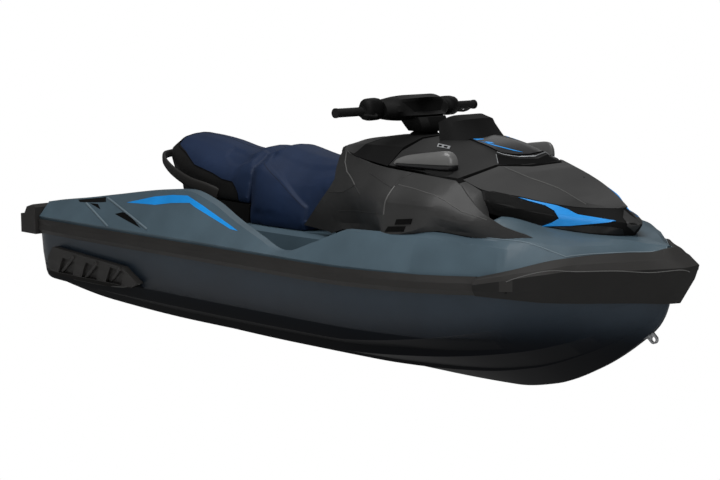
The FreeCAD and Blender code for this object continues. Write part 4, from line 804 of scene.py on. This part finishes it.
# Flank between the front cover and the side panel
FLANK_OUT = [(2632, 374, 846), (2664, 379, 822), (2700, 389, 794), (2742, 397, 766), (2778, 399, 742),
    (2800, 396, 726)]
FLANK_IN = [(2640, 346, 852), (2676, 344, 838), (2712, 341, 822), (2730, 346, 800), (2740, 348, 775),
    (2748, 345, 748)]
for side, word in SIDES:
    lines = [[Vector((x, y * side, z - 2)) for x, y, z in line] for line in (FLANK_OUT, FLANK_IN)]
    lines.insert(1, [p.lerp(q, 0.5) + Vector((0, 3 * side, 0)) for p, q in zip(*lines)])
    shell("hood_flank_" + word, lines, 4, "panel", angle=30)


# Storage lid: arm and pin of its hinge, deflector, recess and marks

ON_LID = {"body": "storage_lid"}


def whole(half):
    """A line on starboard, and its mirror image back on port."""
    return half + [(x, -y, *rest) for x, y, *rest in reversed(half) if y]


HX, HZ = 2940, 855  # the hinge
ARM = [(-178, 78), (-176, -55), (-114, -105), (-6, -55), (12, 0), (-12, 0), (-26, -39), (-108, -79), (-156, -43),
    (-158, 74)]
LUG = [(-12, 0), (0, -12), (12, 0), (18, 14), (-18, 20)]
add_piece("lid_arm", *prism([(HX + x, HZ + z) for x, z in ARM], -14, 14), "black_trim", bevel=0.002, **ON_LID)
bar("lid_boss", (HX, -14, HZ), (HX, 14, HZ), 12, "black_trim", **ON_LID)
for side, word in SIDES:
    add_piece("cover_lug_" + word, *prism([(HX + x, HZ + z) for x, z in LUG], *sorted((side * 18, side * 26))),
              "black_trim", bevel=0.001)
bar("lid_pin", (HX, -28, HZ), (HX, 28, HZ), 6, "metal")

deflector = decal("deflector", [lid], whole([
    (2500, 0, 994), (2482, -60, 992), (2460, -107, 990), (2504, -111, 977), (2619, -113, 944), (2672, -84, 941),
    (2712, -48, 941), (2742, 0, 943)]), "screen", lift=6, mirror=False, angle=40, **ON_LID)
# A flat near-black plate for the recess by the deflector: painted shade
decal("deflector_recess", [lid], whole([
    (2824, 0, 919), (2752, -94, 908), (2706, -146, 908), (2668, -186, 908), (2608, -128, 940), (2690, -98, 932),
    (2752, -46, 931), (2764, 0, 938)]), "void", lift=0.8, mirror=False, **ON_LID)
lid_tree = bvh_of(lid)
rim = whole([(2608, -120), (2640, -112), (2690, -88), (2736, -44), (2752, 0)])
sweep("deflector_rim", on_top(lid_tree, dotted(rim, 8), 3.0), 2.4, "bright_trim", sides=10, **ON_LID)
# Thin bright lines along the recess's edges: painted highlight
for side, word in SIDES:
    edge = dotted([(2612, 130 * side), (2640, 158 * side), (2664, 182 * side)], 8)
    sweep("recess_painted_highlight_" + word, on_top(lid_tree, edge, 0.5), 2.0, "bright_trim", sides=8, **ON_LID)
for name, base, mat, lift, outline in (
        ("slash_long", deflector, "accent", 0.8,
         [(2506, -92, 981), (2532, -87, 976), (2600, -74, 963), (2690, -52, 946), (2655, -64, 950), (2575, -86, 966)]),
        ("slash_rear", deflector, "accent", 0.8,
         [(2473, -96, 989), (2500, -66, 988), (2508, -69, 987), (2494, -96, 984)]),
        ("slash_mid", deflector, "accent", 0.8,
         [(2524, -82, 979), (2550, -70, 977), (2566, -72, 973), (2546, -84, 973)]),
        ("intake_plate", lid, "bright_trim", 2.0,
         [(2377, -201, 972), (2440, -201, 965), (2449, -221, 956), (2395, -230, 962)]),
        # The plate's holes are near-black plates: painted shade
        ("intake_plate_hole_a", lid, "void", 2.6,
         [(2391, -209, 968), (2406, -209, 966), (2410, -219, 962), (2397, -221, 962)]),
        ("intake_plate_hole_b", lid, "void", 2.6,
         [(2416, -208, 965), (2432, -207, 963), (2436, -216, 958), (2421, -218, 960)])):
    decal(name, [base], outline, mat, lift=lift, **ON_LID)


# Nose: accents and panels

decal("accent_blade", [nose], [
    (2838, -272, 801), (2904, -231, 786), (2955, -194, 774), (2990, -168, 759), (3022, -153, 742), (3081, -100, 729),
    (3134, -64, 719), (3086, -108, 712), (3045, -146, 707), (3008, -180, 702), (2927, -243, 699), (2957, -222, 713),
    (2978, -206, 729), (2957, -207, 755), (2925, -222, 774), (2870, -252, 789)],
    "accent", lift=4, grain=10, away=(0.3, -1, 0.3), angle=40)
decal("nose_panel", [nose, hood], [
    (2730, -337, 818), (2752, -318, 822), (2838, -272, 806), (2925, -222, 776), (2957, -207, 757), (2974, -206, 731),
    (2945, -228, 712), (2850, -290, 728), (2775, -330, 752), (2742, -342, 790)], "matte_black", away=(0.2, -1, 0.3))
decal("nose_lower", [nose], [
    (2950, -226, 696), (3008, -180, 700), (3060, -136, 704), (3120, -84, 700), (3150, -40, 690), (3150, -30, 668),
    (3064, -128, 676)], "gloss_black", away=(0.3, -1, 0.2))


# Console: panel-coloured rear corners and the wall under its rear edge

decal("console_corner", [console], [
    (1938, -286, 927), (2006, -300, 914), (2037, -205, 965), (2055, -165, 977), (2010, -122, 978), (1896, -122, 952),
    (1900, -210, 938)], "panel", lift=1.5, away=(-0.3, -0.6, 1))


def wide(half, n):
    """A line across the part, from its half on port."""
    return through([(x, -y, z) for x, y, z in reversed(half)] + list(half[1:]), n)


wall_top = [(x, at(line, x)[0], at(line, x)[1] - 2) for line, x in reversed(CONSOLE_REAR)]
wall_low = [(1898, 0, 770), (1900, 130, 770), (1906, 215, 772), (1926, 272, 780)]
wall_mid = [((a[0] + b[0]) / 2 + 6, (a[1] + b[1]) / 2, (a[2] + b[2]) / 2) for a, b in zip(wall_top, wall_low)]
shell("console_rear_wall", [wide(row, 31) for row in (wall_top, wall_mid, wall_low)], 5, "black_trim", angle=30)


# Windshield and mirrors

WIND = [[(2500, 0, 994), (2490, 50, 992), (2462, 100, 986), (2420, 146, 978), (2360, 170, 976)],
        [(2478, 0, 1012), (2470, 48, 1011), (2446, 96, 1005), (2406, 140, 998), (2352, 166, 992)],
        [(2440, 0, 1046), (2434, 46, 1045), (2416, 92, 1040), (2386, 132, 1030), (2340, 154, 1018)],
        [(2428, 0, 1061), (2424, 44, 1060), (2408, 90, 1057), (2378, 126, 1048), (2332, 144, 1034)],
        [(2366, 0, 1074), (2364, 40, 1074), (2358, 80, 1073), (2346, 112, 1066), (2320, 134, 1046)]]
screen = shell("windshield_skin", [wide(row, 41) for row in WIND], 6, "matte_black", angle=24, **ON_LID)
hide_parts("windshield")

# Plan outlines of a mirror from below to its top, with their heights at the rear and at the front
M_WIDE = [(2566, 296), (2552, 332), (2432, 368), (2314, 388), (2300, 376), (2418, 308)]
MIRROR = (([(2552, 300), (2540, 326), (2430, 358), (2322, 380), (2310, 372), (2424, 318)], 892, 872),
          (M_WIDE, 898, 884), (M_WIDE, 912, 930),
          ([(2546, 304), (2534, 328), (2430, 352), (2336, 370), (2326, 364), (2424, 318)], 924, 962),
          ([(2510, 312), (2500, 326), (2428, 340), (2360, 352), (2354, 348), (2426, 324)], 930, 968))
MIRROR_FOOT = ([(2440, 358, 890), (2546, 330, 884), (2530, 308, 892), (2430, 330, 898)],
               [(2450, 360, 870), (2552, 354, 862), (2560, 322, 880), (2450, 330, 892)])
# Above this height the mirror's faces take a light grey: painted highlight
HIGHLIGHT_FROM = 0.642  # the mirror is bright above this height
for side, word in SIDES:
    rings = [through([(x, y * side, rear_z + (front_z - rear_z) * (x - 2300) / 266)
                      for x, y in outline + outline[:1]], 37)[:-1] for outline, rear_z, front_z in MIRROR]
    mirror = add_piece("mirror_skin_" + word, *ring_faces(rings), "screen", angle=50, **ON_LID)
    modify(mirror, "SUBSURF", levels=1, render_levels=1)
    apply_all(mirror)
    mirror.data.materials.append(MATS["mirror_top_painted_highlight"])
    for poly in mirror.data.polygons:
        if poly.center.z > HIGHLIGHT_FROM:
            poly.material_index = 1
    mirror.data.set_sharp_from_angle(angle=math.radians(45))
    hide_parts("mirror_" + word)
    rings = [[Vector((x, y * side, z)) for x, y, z in ring] for ring in MIRROR_FOOT]
    add_piece("mirror_foot_" + word, *ring_faces(rings), "black_trim", **ON_LID)


# Handlebar: cover, switch clusters, levers, neck and grips

ON_BAR = {"body": "steering"}


def lofted(name, sections, count, mat, levels=0, **kw):
    """A body through cross-sections that have the same number of points."""
    lines = [through(line, count) for line in zip(*sections)]
    obj = add_piece(name, *ring_faces([list(ring) for ring in zip(*lines)]), mat, **kw)
    if levels:
        modify(obj, "SUBSURF", levels=levels, render_levels=levels)
        apply_all(obj)
        obj.data.set_sharp_from_angle(angle=math.radians(40))
    return obj


def octagon(x0, x1, z0, z1, c):
    return [(x0 + c, z0), (x1 - c, z0), (x1, z0 + c), (x1, z1 - c), (x1 - c, z1), (x0 + c, z1), (x0, z1 - c),
            (x0, z0 + c)]


COVER = {
    0: [(2004, 1050), (2060, 1042), (2130, 1050), (2170, 1070), (2120, 1082), (2105, 1120), (2130, 1140),
        (2080, 1150), (2020, 1140), (2000, 1100)],
    75: [(2004, 1050), (2060, 1042), (2130, 1050), (2166, 1070), (2140, 1084), (2125, 1120), (2126, 1138),
         (2080, 1150), (2020, 1140), (2000, 1100)],
    140: [(2008, 1052), (2050, 1046), (2090, 1052), (2120, 1068), (2128, 1085), (2122, 1110), (2100, 1132),
          (2060, 1144), (2015, 1134), (2000, 1095)],
    190: [(2012, 1060), (2045, 1054), (2070, 1058), (2085, 1074), (2088, 1088), (2084, 1104), (2070, 1122),
          (2045, 1130), (2018, 1124), (2008, 1094)],
}
cover = lofted("handlebar_cover_skin", [[(x, y, z) for x, z in COVER[abs(y)]]
                                        for y in (-190, -140, -75, 0, 75, 140, 190)],
               49, "black_trim", angle=32, **ON_BAR)
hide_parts("handlebar_cover")
# Cross-sections of the clusters: Y, then X and Z from and to, and the size of the chamfer
for turn, word, sections in (
        (-1, "starboard", ((182, 2012, 2066, 1060, 1122, 12), (202, 2002, 2076, 1050, 1142, 16),
                           (232, 2000, 2078, 1048, 1143, 18), (266, 2002, 2074, 1050, 1140, 18),
                           (282, 2012, 2058, 1064, 1118, 14))),
        (1, "port", ((182, 2014, 2072, 1060, 1124, 12), (200, 2004, 2104, 1052, 1136, 22),
                     (230, 2000, 2110, 1050, 1136, 26), (262, 2004, 2092, 1052, 1132, 22),
                     (278, 2012, 2064, 1064, 1116, 14)))):
    lofted("switch_cluster_" + word, [[(x, y * turn, z) for x, z in octagon(*shape)] for y, *shape in sections], 9,
           "black_trim", levels=1, **ON_BAR)
    sweep("grip_ribs_" + word, [(2030, (284 + k * 3.4) * turn, 1088) for k in range(42)],
          [17.6 if k % 3 else 18.6 for k in range(42)], "grip", sides=28, slot="grip", **ON_BAR)
    sweep("lever_" + word, [(2060, 236 * turn, 1078), (2088, 252 * turn, 1072), (2104, 274 * turn, 1070),
                            (2104, 300 * turn, 1074), (2092, 330 * turn, 1078)], [6, 6, 5.5, 5, 4], "grip",
          slot="grip", **ON_BAR)
    for k, (x, z) in enumerate(((2008, 1120), (2008, 1098), (2008, 1076))):
        bar("switch_%d_%s" % (k, word), (x - 9, 236 * turn, z), (x + 4, 236 * turn, z), 7, "grip", sides=16,
            slot="grip", **ON_BAR)
lofted("bar_neck", [[(x, y, z) for x, y in octagon(*shape)] for z, *shape in
                    ((1062, 2024, 2190, -84, 84, 26), (1040, 2044, 2200, -82, 82, 26),
                     (1018, 2060, 2204, -76, 76, 26), (1002, 2072, 2200, -70, 70, 26))],
       9, "black_trim", angle=30, **ON_BAR)
# The cover's hollow is a near-black plate: painted shade
decal("cover_hollow", [cover], [(2130, -128, 1126), (2130, 128, 1126), (2130, 78, 1082), (2130, -78, 1082)], "void",
      lift=0.8, mirror=False, away=(1, 0, 0.1), **ON_BAR)
add_piece("gauge_housing", *prism([(2352, 996), (2368, 1052), (2386, 1054), (2384, 996)], -96, 96), "black_trim",
          bevel=0.004, **ON_LID)
add_piece("gauge_glass", *prism([(2353, 1004), (2365, 1046), (2367, 1046), (2356, 1004)], -84, 84), "screen",
          bevel=0.0005, **ON_LID)


# Seats: black lower part, piping, bolster and dish

def eased(value):
    value = clamp(value)
    return value * value * (3 - 2 * value)


TRIM_LINE = [(690, 1000), (695, 900), (704, 863), (788, 832), (833, 809), (877, 786), (1026, 757), (1094, 737),
    (1168, 730), (1198, 707), (1216, 682), (1220, 630), (1244, 581), (1244, 540)]
TRIM_AREA = TRIM_LINE + [(560, 540), (560, 1000)]
RIDGE = [(1310, 858), (1356, 829), (1419, 791), (1511, 743), (1588, 700), (1666, 658), (1666, 600)]
RIDGE_AREA = RIDGE + [(1900, 600), (1900, 1000), (1310, 1000)]
DISH = [(1023, 154), (999, 116), (1000, 64), (1088, 71), (1258, 150), (1240, 200), (1100, 190)]
for obj, rise, rise_from in ((rear, 0.009, 760), (driver, 0.014, 670)):
    trim_values, moved = [], []
    for v in obj.data.vertices:
        x, y, z = drawn(v.co)
        y = abs(y)
        trim, depth = -9.0, 0
        if obj is rear:
            trim = apart(TRIM_LINE, x, z) * (1 if inside(TRIM_AREA, x, z) else -1)
            if inside(DISH, x, y) and v.normal.z > 0.2:
                depth = 6 * eased(apart(DISH + DISH[:1], x, y) / 28)
        elif inside(RIDGE_AREA, x, z):
            depth = 9 * eased(apart(RIDGE, x, z) / 16) * eased((y - 112) / 40) * eased((1850 - x) / 60)
        trim_values.append(trim)
        moved.append(v.co - v.normal * depth / 1000 + Vector((0, 0, rise * eased((z - rise_from) / 130))))
    for v, place in zip(obj.data.vertices, moved):
        v.co = place
    obj.data.attributes.new("trim", "FLOAT", "POINT").data.foreach_set("value", trim_values)
    obj.data.update()

rear_tree, driver_tree = bvh_of(rear), bvh_of(driver)
for side, word in SIDES:
    line = [p for p in on_side(rear_tree, dotted(TRIM_LINE[1:-1], 14), side, 0.6) if abs(p.y) > 90]
    sweep("seat_piping_" + word, line, 2.2, "void", sides=8, slot="seat_cover")
    line = on_side(driver_tree, dotted(RIDGE[1:-1], 14), side, -0.2)
    sweep("bolster_seam_" + word, line, 1.6, "seat_cover", sides=8)
line = on_top(rear_tree, [(690 + 4 * math.cos(y / 60), y) for y in range(-150, 151, 12)], 0.4)
sweep("seat_piping_over", line, 2.2, "void", sides=8, slot="seat_cover")
line = on_top(rear_tree, [(x, 0) for x in range(700, 1290, 20)], -0.6)
sweep("seat_seam_rear", line, 1.2, "void", sides=8, slot="seat_cover")


# Grab handle

def rounded(value):
    """A cosine or sine that is flattened, so that a circle becomes a squarish oval."""
    return math.copysign(abs(value) ** 0.7, value)


handle_path = through([(x, y, REAR_BASE + z) for x, y, z in whole([(x, -y, z) for x, y, z in HANDLE])], 81)
rings = []
for i, point in enumerate(handle_path):
    along = (handle_path[min(i + 1, 80)] - handle_path[max(i - 1, 0)]).normalized()
    across = along.cross(Vector((0, 0, 1))).normalized()
    up = across.cross(along)
    tall = 18 + 12 * clamp((point.x - 578) / 487)
    turns = [2 * math.pi * k / 16 for k in range(16)]
    rings.append([point + across * (9 * rounded(math.cos(a))) + up * (tall * rounded(math.sin(a))) for a in turns])
handle = add_piece("grab_handle_skin", *ring_faces(rings), "bumper", angle=50)
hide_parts("grab_handle")


# Stripes, ridges and recesses of the deck; the recess and vents are dark plates of painted shade, and the bands,
# ridges and creases are lines of painted highlight

for name, mat, away, outline in (
        ("deck_stripe", "accent", None,
         [(791, -537, 631), (978, -522, 673), (1100, -518, 690), (1201, -516, 695), (1308, -526, 664),
          (1577, -558, 580), (1526, -558, 584), (1270, -534, 652), (1230, -529, 666), (1110, -532, 655),
          (1002, -542, 639)]),
        ("deck_recess", "black_trim", (0, -0.6, 1),
         [(404, -530, 611), (607, -518, 639), (629, -535, 619), (479, -538, 605), (428, -538, 602)]),
        ("deck_vent_rear", "void", None, [(510, -540, 604), (619, -559, 586), (576, -542, 606)]),
        ("deck_vent_front", "void", None, [(743, -570, 577), (796, -570, 592), (852, -572, 583), (972, -601, 537)])):
    decal(name, [deck], outline, mat, lift=0.8, away=away)
for name, bases, points, radius, mat, slot in (
        ("deck_band_rear", [deck], [(484, -541, 602), (737, -608, 523)], 5, "deck_painted_highlight", "deck"),
        ("deck_band_front", [deck], [(626, -521, 637), (1017, -601, 537)], 5, "deck_painted_highlight", "deck"),
        ("deck_ridge", [deck], [(2570, -468, 681), (2810, -405, 661), (3093, -320, 612), (3242, -121, 624),
                                (3344, -15, 638)], 2.4, "deck_painted_highlight", "deck"),
        ("bumper_crease", [bumper], [(2958, -494, 526), (3105, -382, 570), (3428, -26, 560)], 1.6, "painted_highlight_line",
         "panel"),
        ("hood_crease", [hood, lid], [(2697, -187, 901), (2811, -171, 866), (2916, -135, 833), (3019, -99, 778)], 2.2,
         "painted_highlight_line", "panel")):
    trees = [bvh_of(o) for o in bases]
    for side, word in SIDES:
        outward = Vector((0.15, side, 0.9)).normalized()
        line = [nearest(trees, metres((x, -y * side, z)), outward)[0] for x, y, z in dotted(points, 12)]
        sweep(name + "_" + word, [drawn(p) for p in line], radius, mat, sides=8, slot=slot)
decal("nose_cap", [nose, hood], [
    (3129, -11, 757), (3154, -9, 741), (3180, -1, 724), (3198, -1, 710), (3175, -10, 678), (3167, -45, 704),
    (3147, -43, 732)], "panel", lift=2, away=(1, -0.5, 0.4), grain=9)


# Sponsons

LIP = through([(400, 565, 232), (620, 590, 240), (834, 608, 254), (956, 600, 284)], 24)
FINS = (((351, 591, 268), (487, 622, 356)), ((544, 595, 262), (671, 624, 348)), ((738, 591, 268), (848, 626, 344)))
for side, word in SIDES:
    for k, ends in enumerate(FINS):
        a, b = (Vector((x, y * side, z)) for x, y, z in ends)
        bar("sponson_fin_%d_%s" % (k, word), a, b, 9, "bumper", sides=10)
    # The lip is a bead in the light grey of painted highlight
    sweep("sponson_lip_" + word, [(p.x, p.y * side, p.z) for p in LIP], 3, "painted_highlight_line", sides=8)


# Mats: raised ribs

def ribs(name, node_name, xs, y0, y1):
    """Low ribs across a mat, kept 12 mm inside its outline."""
    tree = bvh_of(NODES[node_name])
    verts, faces = [], []
    for x in xs:
        run = [y for y in steps(y0, y1, 60) if len(on_top(tree, [(x, y), (x + 9, y)])) == 2]
        if len(run) < 8:
            continue
        a, b = run[0] + 12, run[-1] - 12
        z = on_top(tree, [(x, (a + b) / 2)])[0].z
        base = len(verts)
        verts += [(x + dx, y, z + dz) for y in (a, b) for dx, dz in ((0, -0.5), (1.5, 1.6), (7.5, 1.6), (9, -0.5))]
        faces += [tuple(base + i for i in f) for f in ((0, 1, 2, 3), (7, 6, 5, 4), (0, 4, 5, 1), (1, 5, 6, 2),
                                                      (2, 6, 7, 3), (3, 7, 4, 0))]
    add_piece(name, verts, faces, "mat", angle=20)


ribs("platform_mat_ribs", "platform_mat", range(172, 540, 18), -440, 440)
for side, word in SIDES:
    ribs("footwell_ribs_" + word, "footwell_mat_" + word, range(1212, 2024, 18), *sorted((300 * side, 500 * side)))


# Screws and bolts

def studs(name, places, mat):
    """Domed heads of 10 mm: each place is a point and the direction it faces."""
    verts, faces = [], []
    turns = [k * math.pi / 5 for k in range(10)]
    for point, facing in places:
        axis = Vector(facing).normalized()
        across = axis.cross(Vector((0, 0, 1) if abs(axis.z) < 0.9 else (1, 0, 0))).normalized()
        up = axis.cross(across)
        rings = [[Vector(point) + (across * math.cos(a) + up * math.sin(a)) * r + axis * out for a in turns]
                 for r, out in ((5, -1.0), (5, 1.75), (3, 3.0))]
        more, sides = ring_faces(rings)
        faces += [tuple(len(verts) + i for i in f) for f in sides]
        verts += more
    add_piece(name, verts, faces, mat, slot="metal")


bumper_tree = bvh_of(bumper)
screws = []
for side, _ in SIDES:
    place, normal = nearest([bumper_tree], metres((2955, 491 * side, 484)), Vector((0.4, side, 0.1)).normalized())
    screws.append((drawn(place), normal))
studs("bumper_screws", screws, "black_trim")
studs("pump_bolts", [((708, 101 * math.cos(a), 185 + 101 * math.sin(a)), (-1, 0, 0))
                     for a in (0.5, 1.57, 2.64, 3.64, 4.71, 5.78)], "metal")
sweep("step_tread", [(62, -150 + k * 6, 406) for k in range(51)], [12.2 if k % 2 else 11.4 for k in range(51)], "grip",
      sides=20, body="step", slot="grip")


# Studio

def looking(obj, place, aim):
    obj.location = place
    obj.rotation_euler = (Vector(aim) - Vector(place)).to_track_quat("-Z", "Y").to_euler()
    return obj


for name, place, aim, size, power in (("key", (1.0, -2.6, 6.6), (0, 0, 0.3), 5.0, 390),
                                      ("fill", (5.0, -2.5, 2.5), (0.5, 0, 0.2), 3.0, 70),
                                      ("rim", (-2.0, 4.0, 5.0), (0.3, 0, 0.3), 4.0, 40)):
    lamp = bpy.data.lights.new(name, "AREA")
    lamp.shape = "SQUARE"
    lamp.size = size
    lamp.energy = power
    looking(placed(name, lamp), place, aim)

# The background is white to the camera and through clear pieces, and a dim light to everything else
world = bpy.data.worlds.new("studio_world")
bpy.context.scene.world = world
world.use_nodes = True
tree = world.node_tree
sky = tree.nodes["Background"]
sky.inputs["Color"].default_value = (1, 1, 1, 1)
rays = node(tree, "LightPath")
seen = node(tree, "Math")
seen.operation = "MAXIMUM"
strength = node(tree, "MapRange", To_Min=0.13, To_Max=1.0)
tree.links.new(rays.outputs["Is Camera Ray"], seen.inputs[0])
tree.links.new(rays.outputs["Is Transmission Ray"], seen.inputs[1])
tree.links.new(seen.outputs[0], strength.inputs["Value"])
tree.links.new(strength.outputs["Result"], sky.inputs["Strength"])

lens = bpy.data.cameras.new("camera")
lens.sensor_width = 36.0
lens.lens = 75.05
bpy.context.scene.camera = looking(placed("camera", lens), (4.5525, -4.6884, 1.2141), (0.025, 0, 0.24))
bpy.context.scene.view_settings.view_transform = "Standard"

# The floor lies at the waterline. The camera looks through it, so the hull shows down to the keel
ground = bpy.data.meshes.new("floor")
ground.from_pydata([(x, y, 0) for x, y in ((-4, -4), (4, -4), (4, 4), (-4, 4))], [], [(0, 1, 2, 3)])
ground.materials.append(MATS["floor"])
floor = placed("floor", ground)
floor.visible_camera = False
floor.visible_shadow = False
